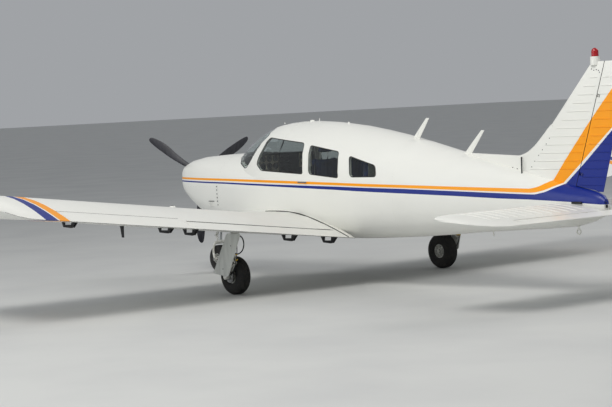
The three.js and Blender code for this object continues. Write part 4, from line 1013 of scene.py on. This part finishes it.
def brake_disc(bm):
    """A dished disc that turns with the rim, on its outboard side."""
    centre = at(MAIN_WHEEL["station"], MAIN_WHEEL["y"] + MAIN_WHEEL["half"] + 4, MAIN_WHEEL["height"])
    profile = [(0, 0.024), (0, 0.072), (0.007, 0.072), (0.007, 0.04), (0.001, 0.038), (0.001, 0.024)]
    spun(bm, profile, Matrix.Translation(centre) @ Matrix.Rotation(-math.pi / 2, 4, "X"), 64)


def make_wheels():
    wheels = [("nose_{}", "nose_wheel", NOSE_WHEEL)]
    for side, sign in SIDES.items():
        place = dict(MAIN_WHEEL, y=sign * MAIN_WHEEL["y"])
        wheels.append(("main_{}_" + side, "main_wheel_" + side, place))
    for name, body, wheel in wheels:
        node = name.format("tyre")
        piece = single(node + "_ribbed", lambda bm: tyre(bm, wheel), ("tyre",), body, 40)
        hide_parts(node)
        node = name.format("rim")
        piece = single(node + "_cast", lambda bm: wheel_rim(bm, wheel), ("rim", "steel"), body)
        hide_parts(node)
    paired("brake_disc", brake_disc, ("disc",), "main_wheel_*")


# Landing gear

LEG_TOP = at(3226, 1657, 721)
LEG_FOOT = at(3108, 1712, 212.35)
GEAR_FINISHES = ("gear", "steel", "chrome", "black", "yellow")
ENAMEL, STEEL, CHROME, BLACK, YELLOW = range(5)
# Rings and tubes on the leg. Columns: share of the way down at the start and end, radius at each, finish
LEG_RINGS = (
    (0.5, 0.545, 38, 36, STEEL),
    (0.545, 0.86, 22.6, 22.6, CHROME),
    (0.86, 0.985, 31, 34, ENAMEL),
    (0.06, 0.09, 36.5, 36.5, ENAMEL),
    (0.26, 0.29, 36.5, 36.5, ENAMEL),
    (0.46, 0.49, 36.5, 36.5, ENAMEL),
)
# The brake line from the caliper upwards. Columns: share of the way down the leg, place aft, outboard, up
BRAKE_LINE = ((0.93, 92, 0, 10), (0.74, 132, 8), (0.5, 120, 6), (0.32, 92, 4), (0.2, 52), (0.1, 38))


def leg_point(share, aft=0.0, out=0.0, up=0.0):
    """A point beside the main leg's own line, from the share of the way down it."""
    return LEG_TOP.lerp(LEG_FOOT, share) + Vector((aft, out, up)) * MM


def main_leg_fittings(bm):
    """Chrome piston, gland nut, clamps, scissor links with pins, and the brake caliper with its line."""
    for start, end, radius, end_radius, finish in LEG_RINGS:
        rod(bm, leg_point(start), leg_point(end), radius * MM, end_radius * MM, finish=finish)
    across = Vector((0, MM, 0))
    knee = leg_point(0.7, 118)
    for share in (0.49, 0.9):
        root = leg_point(share, 26)
        for side in (-1, 1):
            foot, tip = root + across * side * 30, knee + across * side * 9
            middle = foot.lerp(tip, 0.45)
            rod(bm, foot, tip, 0.0095, 0.0075, sides=14)
            rod(bm, middle - across * 4, middle + across * 4, 0.011, sides=14)
        rod(bm, root - across * 42, root + across * 42, 0.0085, sides=14, finish=STEEL)
        rod(bm, leg_point(share), root, 0.02, 0.014, sides=16)
    rod(bm, knee - across * 20, knee + across * 20, 0.007, sides=12, finish=STEEL)
    axle = at(MAIN_WHEEL["station"], 0, MAIN_WHEEL["height"])
    block(bm, axle + Vector((0.035, 1.677, -0.03)), axle + Vector((0.098, 1.706, 0.034)), 0.006, STEEL)
    for z in (-0.012, 0.016):
        spot = axle + Vector((0.066, 1.706, z))
        rod(bm, spot, spot + across * 8, 0.007, sides=6, finish=STEEL)
    line = [axle + Vector((0.075, 1.7, 0.034))] + [leg_point(*row) for row in BRAKE_LINE]
    hose(bm, line, 0.005, finish=BLACK)
    for share, aft in ((0.5, 100), (0.62, 118)):
        spot = leg_point(share, aft)
        tip = spot + Vector((0.026, 0.02, -0.004))
        rod(bm, spot - across * 20, tip, 0.0075, sides=12, finish=YELLOW)


# The brake hose's loop behind the leg. Columns: share of the way down the leg, place aft, outboard
HOSE_ROUTE = ((0.465, 35, 0), (0.502, 110, -12), (0.427, 175, -18), (0.291, 184, -20), (0.155, 143, -16),
              (0.082, 70, -10))
HOSE_RADIUS = 0.007
HOSE_STEPS = 6


def make_brake_hoses():
    """A rubber hose that hangs in one open loop behind each main leg, between its two unions."""
    route = [leg_point(*row) for row in HOSE_ROUTE]
    for side, sign in SIDES.items():
        bm = bmesh.new()
        hose(bm, route, HOSE_RADIUS, HOSE_STEPS, 12)
        if sign < 0:
            mirrored(bm)
        piece = finish_piece(f"brake_hose_{side}", bm, ("seal",), "airframe", 60)


DOOR_TOP = {"y": 1657, "height": 721}
DOOR_LEAN = (1712 - 1657) / (721 - 212.35)
DOOR_GAP = 39
# Ribs and rows of rivets on the door. Columns: lower end and upper end, each as station and height
DOOR_RIBS = (((2975, 250), (3205, 664)), ((3130, 250), (3330, 664)))
DOOR_RIVET_LINES = (((2950, 236), (3160, 676)), ((3178, 224), (3366, 676)))
DOOR_RIVETS = 12


def door_at(station, height, out):
    """A point on the main gear door, which leans outwards as the leg does."""
    return at(station, DOOR_TOP["y"] + DOOR_LEAN * (DOOR_TOP["height"] - height) + DOOR_GAP + out, height)


def gear_door_fittings(bm):
    """Two stiffening ribs on the door's inner face, rows of rivets and two fasteners on its outer one."""
    for low, high in DOOR_RIBS:
        hose(bm, [door_at(*low, -1), door_at(*high, -1)], 0.006, 2, 10, flat=0.6)
    for step in range(DOOR_RIVETS):
        t = (step + 0.5) / DOOR_RIVETS
        for low, high in DOOR_RIVET_LINES:
            spot = door_at(low[0] + (high[0] - low[0]) * t, low[1] + (high[1] - low[1]) * t, 9)
            rod(bm, spot, spot + Vector((0, 0.0012, 0)), 0.0035, 0.0022, sides=8)
    for height in (300, 560):
        spot = door_at(3000 + (height - 250) * 0.5 + 70, height, 9)
        rod(bm, spot, spot + Vector((0, 0.003, 0)), 0.008, 0.006, sides=12, finish=1)


STEER_FOOT = (671, 464)
STEER_LEAN = 0.12


def steer_point(height, ahead=0.0, y=0.0):
    """A point beside the nose leg's steering line, which leans forwards towards the ground."""
    return at(STEER_FOOT[0] + (height - STEER_FOOT[1]) * STEER_LEAN - ahead, y, height)


def nose_leg_fittings(bm):
    """Clamps, steering bell crank with its two rods, and the retraction brace."""
    for height in (562, 640, 760, 880):
        rod(bm, steer_point(height), steer_point(height + 20), 0.0395)
    rod(bm, steer_point(700, 0, -112), steer_point(700, 0, 112), 0.013)
    for side in (-1, 1):
        rod(bm, steer_point(700, -4, side * 108), steer_point(890, -120, side * 96), 0.008, sides=14,
            finish=STEEL)
        rod(bm, steer_point(692, 0, side * 108), steer_point(712, 0, side * 108), 0.017, sides=16,
            finish=STEEL)
    rod(bm, steer_point(600, -30), steer_point(880, -190), 0.011, finish=STEEL)


def nose_fork_fittings(bm):
    """Chrome piston, crown cap, axle nuts and scissor links ahead of the strut."""
    crown = 382
    rod(bm, steer_point(crown + 18), steer_point(549), 0.0246, finish=CHROME)
    rod(bm, steer_point(crown + 12), steer_point(crown + 34), 0.034, 0.03)
    rod(bm, steer_point(528), steer_point(546), 0.0315)
    across = Vector((0, MM, 0))
    axle = at(NOSE_WHEEL["station"], 0, NOSE_WHEEL["height"])
    knee = steer_point(470, 96)
    for side in (-1, 1):
        rod(bm, axle + across * side * 98, axle + across * side * 104, 0.017, sides=6, finish=STEEL)
        rod(bm, axle + across * side * 70, axle + across * side * 99, 0.021)
        tip = knee + across * side * 8
        rod(bm, steer_point(crown + 22, 22, side * 24), tip, 0.009, 0.007, sides=14)
        rod(bm, tip, steer_point(536, 26, side * 24), 0.008, 0.009, sides=14)
    rod(bm, knee - across * 18, knee + across * 18, 0.007, sides=12, finish=STEEL)


def make_gear():
    paired("main_leg_fittings", main_leg_fittings, GEAR_FINISHES, "airframe")
    paired("gear_door_fittings", gear_door_fittings, ("gear_door", "steel"), "airframe")
    single("nose_leg_fittings", nose_leg_fittings, GEAR_FINISHES, "airframe")
    single("nose_fork_fittings", nose_fork_fittings, GEAR_FINISHES, "nose_fork")


# Propeller and nose

SHAFT_HEIGHT = 1261
HUB = at(306, 0, SHAFT_HEIGHT)
BLADE_ANGLES = (math.pi / 3, -math.pi / 3, math.pi)
# Columns: radius, chord, thickness, pitch in degrees, sweep
BLADE_ROWS = (
    (60, 60, 54, 44, 0),
    (150, 72, 46, 38, 4),
    (270, 94, 30, 31, 4),
    (430, 114, 20, 24, 12),
    (560, 134, 15, 19, 28),
    (680, 128, 12, 16, 37),
    (780, 106, 9, 13.5, 38),
    (852, 78, 7, 12, 37),
    (888, 44, 5, 11, 34),
    (896, 18, 4, 11, 32),
)
# The hub's outline. Columns: place along the shaft, radius, both in metres
HUB_PROFILE = (
    (-0.045, 0.001), (-0.045, 0.06), (-0.03, 0.072), (0.03, 0.072), (0.036, 0.066), (0.036, 0.001))
BLADE_STEPS = 40
SPINNER_SCREWS = 18
COOLING_FINS = 9


def blade_placing(radius):
    chord, thickness, pitch, sweep = (column(BLADE_ROWS, key, radius) for key in (1, 2, 3, 4))
    turn = Matrix.Rotation(math.radians(pitch), 4, "Z")
    aft = Matrix.Translation((0, sweep * MM, 0))
    size = Matrix.Diagonal((thickness * MM / 2, chord * MM / 2, 1, 1))
    return Matrix.Translation((0, 0, radius * MM)) @ turn @ aft @ size


def propeller(bm):
    """Three twisted blades that grow from round shanks, with clamp rings, on a round hub."""
    root, end = BLADE_ROWS[0][0], BLADE_ROWS[-2][0]
    radii = [root + (end - root) * k / BLADE_STEPS for k in range(BLADE_STEPS + 1)] + [892, 896]
    for angle in BLADE_ANGLES:
        turn = Matrix.Translation(HUB) @ Matrix.Rotation(angle, 4, "X")
        run(bm, [turn @ blade_placing(radius) for radius in radii], 28)
        rod(bm, turn @ Vector((0, 0, 0.058)), turn @ Vector((0, 0, 0.112)), 0.036, finish=1)
        rod(bm, turn @ Vector((0, 0, 0.112)), turn @ Vector((0, 0, 0.128)), 0.033, 0.028, finish=1)
    spun(bm, HUB_PROFILE, aimed(HUB, HUB + Vector((1, 0, 0)))[0], 48, finish=1)


def spinner_fittings(bm):
    """A ring of screws round the spinner's rear edge."""
    rear = at(328, 0, SHAFT_HEIGHT)
    for k in range(SPINNER_SCREWS):
        a = 2 * math.pi * (k + 0.5) / SPINNER_SCREWS
        out = Vector((0, math.cos(a), math.sin(a)))
        spot = rear + out * 0.1515
        rod(bm, spot, spot + out * 0.0014, 0.0045, 0.003, sides=8)


def cowl_baffle(bm):
    """Black engine baffles behind the air inlets, with the cylinders' cooling fins standing out of them."""
    middle = at(478, 0, 1190)
    oval = Matrix.Rotation(math.pi / 2, 4, "Y") @ Matrix.Diagonal((0.19, 0.345, 1, 1))
    run(bm, [Matrix.Translation(middle + Vector((aft, 0, 0))) @ oval for aft in (0.0, 0.004)], 48)
    for side in (-1, 1):
        y = side * 0.205
        for k in range(COOLING_FINS):
            z = middle.z - 0.05 + 0.0125 * k
            low = (middle.x - 0.028, y - 0.07, z - 0.0018)
            block(bm, low, (middle.x, y + 0.07, z + 0.0018), 0, 1)


def cowl_fittings(bm):
    """Quarter-turn fasteners along the cowl's rear edge, and four louvre blades on each side."""
    for side in (-1, 1):
        for height in (905, 950, 995, 1040, 1087, 1130):
            spot = at(1370, side * (skin_side(1370, height) - 0.5), height)
            rod(bm, spot, spot + Vector((0, side * 0.004, 0)), 0.009, 0.007, sides=14, finish=1)
        for height, finish in ((890, 0), (909, 0), (928, 0), (947, 2)):
            y = side * skin_side(1222, height)
            block(bm, at(1165, y - 5, height - 3), at(1285, y + 5, height + 4), 0.0025, finish)


def skin_side(station, height):
    """Half width of the body at a station and a height above the ground."""
    half, bottom, waist, top, low_power, high_power = section("hull", station)
    rise = height - DATUM - waist
    reach, power = (top - waist, high_power) if rise >= 0 else (waist - bottom, low_power)
    return half * max(1 - abs(rise / reach) ** power, 0) ** (1 / power)


def skin_top(station):
    tops = [section(which, station)[3] for which, table in BODY_TABLES.items()
            if table[0][0] <= station <= table[-1][0]]
    return max(tops) + DATUM


def make_nose():
    piece = single("propeller_three_blades", propeller, ("blade", "steel"), "propeller", 30)
    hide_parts("propeller")
    single("spinner_screws", spinner_fittings, ("steel",), "propeller")
    single("cowl_baffle", cowl_baffle, ("black", "engine"), "airframe")
    single("cowl_fasteners", cowl_fittings, ("cowl", "steel", "black"), "airframe")


# Cabin


def padded_pair(name, outline, y_low, y_high, swell, channels=(), fine=True):
    """A cushion and its port twin: a prism from an outline, swelled as a bag of cloth and then sewn."""
    bm = bmesh.new()
    plate(bm, outline, y_low, y_high)
    rounded(bm, [e for e in bm.edges if e.calc_face_angle(0) > 0.5], 0.018, 4)
    bmesh.ops.recalc_face_normals(bm, faces=bm.faces)
    obj = finish_piece(name + "_right", bm, ("cloth",), "airframe", 60)
    shape_by_modifier(obj, "REMESH", mode="VOXEL", voxel_size=0.006)
    swell_as_cloth(obj, swell)
    sew_channels(obj, channels)
    twin = bpy.data.objects.new(name + "_left", obj.data.copy())
    bpy.context.scene.collection.objects.link(twin)
    twin.data.transform(Matrix.Diagonal((1, -1, 1, 1)))
    twin.data.flip_normals()
    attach(twin, "airframe")
    for piece in (obj, twin):
        piece.data.shade_smooth()
        if fine:
            smoother = piece.modifiers.new("smooth", "SUBSURF")
            smoother.levels = smoother.render_levels = 1
    return obj, twin


def shape_by_modifier(obj, kind, **settings):
    """Adds a modifier, takes its result as the object's own mesh, and leaves no modifier behind."""
    modifier = obj.modifiers.new(kind.lower(), kind)
    for key, value in settings.items():
        setattr(modifier, key, value)
    graph = bpy.context.evaluated_depsgraph_get()
    shaped = bpy.data.meshes.new_from_object(obj.evaluated_get(graph))
    obj.modifiers.remove(modifier)
    obj.data = shaped


def swell_as_cloth(obj, swell):
    """Blows the cushion up as a closed bag of cloth, and keeps each point's move within the swell."""
    scene = bpy.context.scene
    rest = [v.co.copy() for v in obj.data.vertices]
    cloth = obj.modifiers.new("cloth", "CLOTH")
    cloth.settings.use_pressure = True
    cloth.settings.uniform_pressure_force = 4
    cloth.settings.effector_weights.gravity = 0
    cloth.settings.quality = 4
    for step in range(1, CLOTH_FRAMES + 1):
        scene.frame_set(step)
    graph = bpy.context.evaluated_depsgraph_get()
    blown = [v.co.copy() for v in obj.evaluated_get(graph).data.vertices]
    obj.modifiers.remove(cloth)
    scene.frame_set(1)
    for vertex, start, end in zip(obj.data.vertices, rest, blown):
        move = end - start
        vertex.co = start + move * min(1, swell / move.length if move.length > 1e-9 else 1)


CLOTH_FRAMES = 20
CHANNEL = {"half": 0.011, "depth": 0.009}


def sew_channels(obj, channels):
    """Presses a soft groove into the cushion along each plane: axis, place."""
    obj.data.update()
    normals = [v.normal.copy() for v in obj.data.vertices]
    for vertex, normal in zip(obj.data.vertices, normals):
        for axis, plane in channels:
            off = abs(vertex.co[axis] - plane) / CHANNEL["half"]
            if off < 1:
                vertex.co -= normal * CHANNEL["depth"] * (1 - off ** 2) ** 2
    obj.data.update()


# Outlines of the cushions, the seat's tubes and its back shell. Columns: station, height
FRONT_BASE = ((2584, 850), (2584, 928), (2980, 898), (2980, 850))
FRONT_BACK = ((3022, 912), (3098, 1455), (3152, 1462), (3106, 905))
HEADREST = ((3122, 1524), (3136, 1594), (3180, 1594), (3176, 1524))
REAR_BASE = ((3462, 760), (3462, 930), (3880, 905), (3880, 760))
REAR_BACK = ((3920, 930), (4028, 1412), (4086, 1412), (4030, 920))
SEAT_TUBES = (
    ((2640, 700), (2625, 770), (2640, 832), (2760, 838), (3010, 838)),
    ((3010, 700), (3030, 800), (3052, 900), (3120, 1180), (3150, 1430)),
)
SEAT_SHELL = ((3118, 905), (3162, 1440), (3168, 1440), (3126, 905))
SEAT_SIDES = (95, 390)
CABIN_FLOOR = 684.4


def front_seat_frame(bm):
    """Floor rails, a welded tube frame, the hard back shell and the headrest's two posts."""
    for y in SEAT_SIDES:
        block(bm, at(2600, y - 14, CABIN_FLOOR), at(3060, y + 14, 700), 0.003)
        for route in SEAT_TUBES:
            hose(bm, [at(station, y, height) for station, height in route], 0.012)
    for station, height in ((2640, 832), (3030, 838)):
        rod(bm, at(station, SEAT_SIDES[0], height), at(station, SEAT_SIDES[1], height), 0.011)
    for y in (195, 290):
        rod(bm, at(3128, y, 1440), at(3152, y, 1545), 0.0065, sides=16, finish=1)
    plate(bm, SEAT_SHELL, 75, 410, 0.002, 2)


def bench_base(bm):
    """The rear bench's box below its cushions, and the board behind them."""
    plate(bm, ((3450, CABIN_FLOOR), (3450, 752), (4010, 752), (4010, CABIN_FLOOR)), -430, 430, 0.006)
    plate(bm, ((4040, 760), (4100, 1405), (4106, 1405), (4046, 760)), -410, 410, 0.002)


BOARD_FACE = 2091
PANEL_FINISHES = ("board", "plate", "dial", "mark", "steel", "yellow")
BOARD, PLATE, CARD, MARK, METAL, KNOB = range(6)
# The dials' plates. Columns: lower corner and upper corner, each as place across and height
DIAL_PLATES = (((-440, 1235), (-108, 1492)), ((212, 1325), (410, 1492)))
# Dials on the instrument board. Columns: place across, height, radius
DIALS = (
    (-345, 1452, 39), (-250, 1452, 39), (-155, 1452, 39),
    (-345, 1362, 39), (-250, 1362, 39), (-155, 1362, 39),
    (-60, 1290, 27), (-410, 1285, 27), (-345, 1275, 30),
    (265, 1452, 34), (350, 1452, 34), (265, 1372, 30), (350, 1372, 30),
)
RADIOS = 5
SWITCHES = 9


def instruments(bm):
    """The dial plates, bezels with cards, marks and needles, the radio stack, switches and control knobs."""
    for low, high in DIAL_PLATES:
        block(bm, at(BOARD_FACE, *low), at(BOARD_FACE + 3, *high), 0.0012, PLATE)
    for k in range(RADIOS):
        z = DIAL_PLATES[0][1][1] - 62 * k
        block(bm, at(BOARD_FACE, -95, z - 56), at(BOARD_FACE + 12, 75, z), 0.003)
        block(bm, at(BOARD_FACE + 12, -50, z - 34), at(BOARD_FACE + 13.5, 30, z - 14), 0.001, CARD)
        for y in (-78, 56):
            rod(bm, at(BOARD_FACE + 11, y, z - 28), at(BOARD_FACE + 26, y, z - 28), 0.009, 0.0075, sides=20)
    for n, (y, z, radius) in enumerate(DIALS):
        dial(bm, at(BOARD_FACE, y, z), radius * MM, n)
    for k in range(SWITCHES):
        y = -420 + 34 * k
        rod(bm, at(BOARD_FACE, y, 1200), at(BOARD_FACE + 6, y, 1200), 0.006, sides=12, finish=METAL)
        rod(bm, at(BOARD_FACE + 4, y, 1200), at(BOARD_FACE + 17, y, 1208), 0.0025, 0.0035, sides=8,
            finish=METAL)
    for y, finish in ((-30, BOARD), (20, CARD), (70, KNOB)):
        rod(bm, at(BOARD_FACE, y, 1165), at(BOARD_FACE + 60, y, 1165), 0.006, sides=14, finish=METAL)
        rod(bm, at(BOARD_FACE + 55, y, 1165), at(BOARD_FACE + 78, y, 1165), 0.016, 0.014, sides=24,
            finish=finish)


DIAL_MARKS = 12


def dial(bm, centre, radius, number):
    """A bezel, a black card, a ring of marks and one needle, which stands at its own angle."""
    out = Vector((MM, 0, 0))
    turn = Matrix.Translation(centre) @ Matrix.Rotation(math.pi / 2, 4, "Y")
    profile = [(0.0, 0.86), (0.0, 1), (0.0065, 1), (0.008, 0.95), (0.005, 0.86)]
    spun(bm, [(along, share * radius) for along, share in profile], turn, 40)
    rod(bm, centre + out * 2.8, centre + out * 3.8, 0.88 * radius, sides=40, finish=CARD)
    rod(bm, centre + out * 4, centre + out * 6, 0.005, sides=16)
    for k in range(DIAL_MARKS):
        a = 2 * math.pi * k / DIAL_MARKS
        away = Vector((0, math.sin(a), math.cos(a))) * radius
        spot = centre + out * 4.2
        rod(bm, spot + away * 0.66, spot + away * 0.8, 0.0009, sides=6, finish=MARK)
    a = 0.9 + 1.7 * number
    away = Vector((0, math.sin(a), math.cos(a))) * radius
    spot = centre + out * 4.6
    rod(bm, spot - away * 0.15, spot + away * 0.62, 0.0013, 0.0006, sides=6, finish=MARK)


def make_cabin():
    seams = [(1, y) for y in (0.1425, 0.2425, 0.3425)]
    bases = padded_pair("front_seat_base", FRONT_BASE, 62, 423, 0.022, seams)
    padded_pair("front_seat_back", FRONT_BACK, 62, 423, 0.02, seams)
    padded_pair("front_headrest", HEADREST, 150, 335, 0.01)
    seams = [(1, y) for y in (0.12, 0.221, 0.322)]
    benches = padded_pair("rear_bench_base", REAR_BASE, 14, 428, 0.018, seams, False)
    padded_pair("rear_bench_back", REAR_BACK, 14, 428, 0.018, seams, False)
    for side, base, bench in zip(SIDES, bases, benches):
        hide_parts(f"front_seat_{side}")
        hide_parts("rear_bench")
    paired("front_seat_frame", front_seat_frame, ("steel", "chrome", "cloth"), "airframe")
    single("rear_bench_frame", bench_base, ("lining",), "airframe")
    single("instruments", instruments, PANEL_FINISHES, "airframe")


# Small parts on the skin

BEAD = 0.0046
# Heights of the pressed ribs on the fin and the rudder, and their places along the tailplane
FIN_BEADS = range(1307, 2221, 83)
RUDDER_BEADS = range(1141, 2221, 83)
STAB_BEADS = range(260, 1559, 118)


def angle_on(rows, span, station):
    """The angle round a wing-like section's upper side that lies at a station."""
    _, leading, trailing = row_at(rows, span)[:3]
    return math.acos(2 * min(max((station - leading) / (trailing - leading), 0), 1) - 1)


def bead(bm, point_at, span, from_station, to_station, side, face):
    """A pressed rib that follows a skin between two stations: a low round bar, half sunk in it."""
    rows = {fin_point: FIN_ROWS, stab_point: STAB_ROWS}[point_at]
    path = []
    for k in range(7):
        theta = angle_on(rows, span, from_station + (to_station - from_station) * k / 6)
        path.append(point_at(theta if face > 0 else 2 * math.pi - theta, span, side))
    hose(bm, path, BEAD, 1, 8)


def hinge_station(height):
    (low, fore), (high, aft) = RUDDER_HINGE
    return fore + (aft - fore) * (height - low) / (high - low)


def fin_beads(bm):
    for height in FIN_BEADS:
        z = height - DATUM
        leading = row_at(FIN_ROWS, z)[1]
        for face in (1, -1):
            bead(bm, fin_point, z, leading + 130, hinge_station(z) - 62, 1, face)


def rudder_beads(bm):
    for height in RUDDER_BEADS:
        z = height - DATUM
        trailing = row_at(FIN_ROWS, z)[2]
        if trailing - hinge_station(z) < 150:
            continue
        for face in (1, -1):
            bead(bm, fin_point, z, hinge_station(z) + 14, trailing - 26, 1, face)


def stab_beads(bm):
    for side in (1, -1):
        for span in STAB_BEADS:
            for face in (1, -1):
                bead(bm, stab_point, span, 6760, 7190, side, face)


# Where the seal lies on the wing's root. Columns: station, place across
ROOT_SEAL = (
    (2648, 770), (2669, 655), (2796, 603), (2909, 588), (3019, 577), (3163, 571), (3320, 567), (3502, 562),
    (3690, 558), (3800, 556), (3868, 554))


def root_seal(bm):
    """Black rubber strip that starts on the wing's root fairing and follows the body's side to the rear."""
    hose(bm, [wing_point(angle_on(WING_ROWS, y, station), y) for station, y in ROOT_SEAL], 0.0085, 5, 10)


# Small fittings along the roof. Columns: station, place across, half width, height
ROOF_FITTINGS = ((2302, -150, 6, 12), (2640, 0, 34, 15), (2775, 0, 5, 30), (3310, 0, 15, 12))


def skin_trim(bm):
    """Latch on the stripe, rod aerial on the fin's fairing, and small fittings along the roof."""
    latch = at(3092, -skin_side(3092, 1190), 1190)
    block(bm, latch + Vector((-0.088, -0.004, -0.017)), latch + Vector((0.088, 0.004, 0.017)), 0.004, 2)
    block(bm, latch + Vector((-0.075, -0.011, -0.006)), latch + Vector((0.06, -0.004, 0.009)), 0.003)
    rod(bm, latch + Vector((0.07, -0.013, 0)), latch + Vector((0.07, 0.003, 0)), 0.009, sides=24)
    rod(bm, at(6156, -82, 1262), at(6112, -34, 1432), 0.0075, sides=14, finish=1)
    for station, y, wide, tall in ROOF_FITTINGS:
        spot = at(station, y, skin_top(station) - 6)
        tip = spot + Vector((0, 0, (tall + 6) * MM))
        rod(bm, spot, tip, wide * MM, wide * 0.6 * MM, sides=24, finish=2)


# A black strip of painted shade lies along the flap's gap: its station and span.
FLAP_GAP_SHADE = {"station": 3634, "span": (622, 2596)}


def flap_gap_shade(bm):
    """A black strip of painted shade along the wing skin's edge above the flap, where the flap's gap lies in
    shadow.
    """
    low, high = FLAP_GAP_SHADE["span"]
    spans = [low + (high - low) * k / 8 for k in range(9)]
    path = [wing_point(angle_on(WING_ROWS, span, FLAP_GAP_SHADE["station"]), span) for span in spans]
    hose(bm, path, 0.0075, 1, 10, flat=0.35)


def fuel_cap(bm):
    """Fuel cap with its lever."""
    cap = at(2560, 2020, 1004.5)
    rod(bm, cap, cap + Vector((0, 0, 0.011)), 0.0345, 0.028, sides=36)
    block(bm, cap + Vector((-0.022, -0.006, 0.009)), cap + Vector((0.022, 0.006, 0.016)), 0.002, 1)


# Small black fasteners on the fin. Columns: station, height
FIN_FASTENERS = (
    (6518, 1623), (6471, 1564), (6414, 1506), (6357, 1448), (6298, 1388), (6252, 1329), (5969, 1322),
    (6035, 1309), (7125, 2305), (7158, 2291), (7190, 2296), (7219, 2287), (7231, 2268))


def tail_trim(bm):
    """Black fasteners on the fin, black blocks of painted shade for the slots beside the tail's spar tube,
    and fittings at the body's end.
    """
    for side in (-1, 1):
        for station, height in FIN_FASTENERS:
            z = height - DATUM
            theta = angle_on(FIN_ROWS, z, station)
            spot = fin_point(theta if side > 0 else 2 * math.pi - theta, z)
            if station < row_at(FIN_ROWS, z)[1] + 6:
                spot = at(station, side * 25, height)
            start = spot - Vector((0, side * 0.006, 0))
            rod(bm, start, spot + Vector((0, side * 0.0025, 0)), 0.0062, 0.005, sides=12)
        # The slots beside the spar tube: black blocks of painted shade.
        y = side * skin_side(6940, 972)
        block(bm, at(6868, y - 12, 958), at(7004, y + 5, 982), 0.004)
    block(bm, at(7226, -14, 916), at(7244, 14, 948), 0.003)
    rod(bm, at(7236, -8, 968), at(7246, -8, 968), 0.007, sides=12)


# The beacon's outline. Columns: height above its seat, radius, both in metres
BEACON_LENS = (
    (0, 0.001), (0, 0.036), (0.05, 0.036), (0.066, 0.032), (0.078, 0.022), (0.0855, 0.008), (0.0857, 0.0005))


def beacon_lamp(bm):
    """A domed lens with three bands round it."""
    seat = Matrix.Translation(at(7160, 0, 2428.5))
    spun(bm, BEACON_LENS, seat, 48)
    for z in (0.012, 0.032, 0.052):
        spun(bm, [(z, 0.0355), (z, 0.0372), (z + 0.004, 0.0372), (z + 0.004, 0.0355)], seat, 48)


def make_trim():
    single("fin_beads", fin_beads, ("fin",), "airframe", 60)
    single("rudder_beads", rudder_beads, ("fin",), "rudder", 60)
    single("tailplane_beads", stab_beads, ("stab",), "stabilator", 60)
    paired("wing_root_seal", root_seal, ("seal",), "airframe", 60)
    # A black strip of painted shade along each flap's gap.
    paired("flap_gap_painted_shade", flap_gap_shade, ("seal",), "airframe", 60)
    single("skin_trim", skin_trim, ("steel", "black", "cowl"), "airframe")
    paired("fuel_cap", fuel_cap, ("wing", "steel"), "airframe")
    single("tail_trim", tail_trim, ("black",), "airframe")
    lamp = single("beacon_lamp", beacon_lamp, ("lamp",), "airframe", 50)
    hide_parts("beacon")


FLOOR_HALF = 260
# Soft lights. Columns: name, place, aim, size, power, tint
LIGHTS = (
    ("key", (6, -11, 15), (0, 0, 1), 7, 1750, (1, 0.98, 0.94)),
    ("fill", (-3, -16, 5), (0, 0, 1), 8, 420, (0.94, 0.97, 1)),
    ("back", (2, 14, 12), (0, 0, 1), 8, 800, (1, 0.98, 0.95)),
)


def make_studio():
    bm = bmesh.new()
    bmesh.ops.create_grid(bm, x_segments=1, y_segments=1, size=FLOOR_HALF)
    mesh = bpy.data.meshes.new("floor")
    bm.to_mesh(mesh)
    bm.free()
    mesh.materials.append(MATERIALS["floor"])
    floor = bpy.data.objects.new("floor", mesh)
    bpy.context.scene.collection.objects.link(floor)
    world = bpy.data.worlds.new("studio")
    bpy.context.scene.world = world
    world.use_nodes = True
    sky = world.node_tree.nodes["Background"]
    sky.inputs["Color"].default_value = (0.84, 0.87, 0.91, 1)
    sky.inputs["Strength"].default_value = 0.42
    for row in LIGHTS:
        make_light(*row)
    bpy.context.scene.view_settings.view_transform = "Standard"


make_camera()
make_brake_hoses()
dress_solids()
make_wheels()
make_gear()
make_nose()
make_cabin()
make_trim()
make_studio()
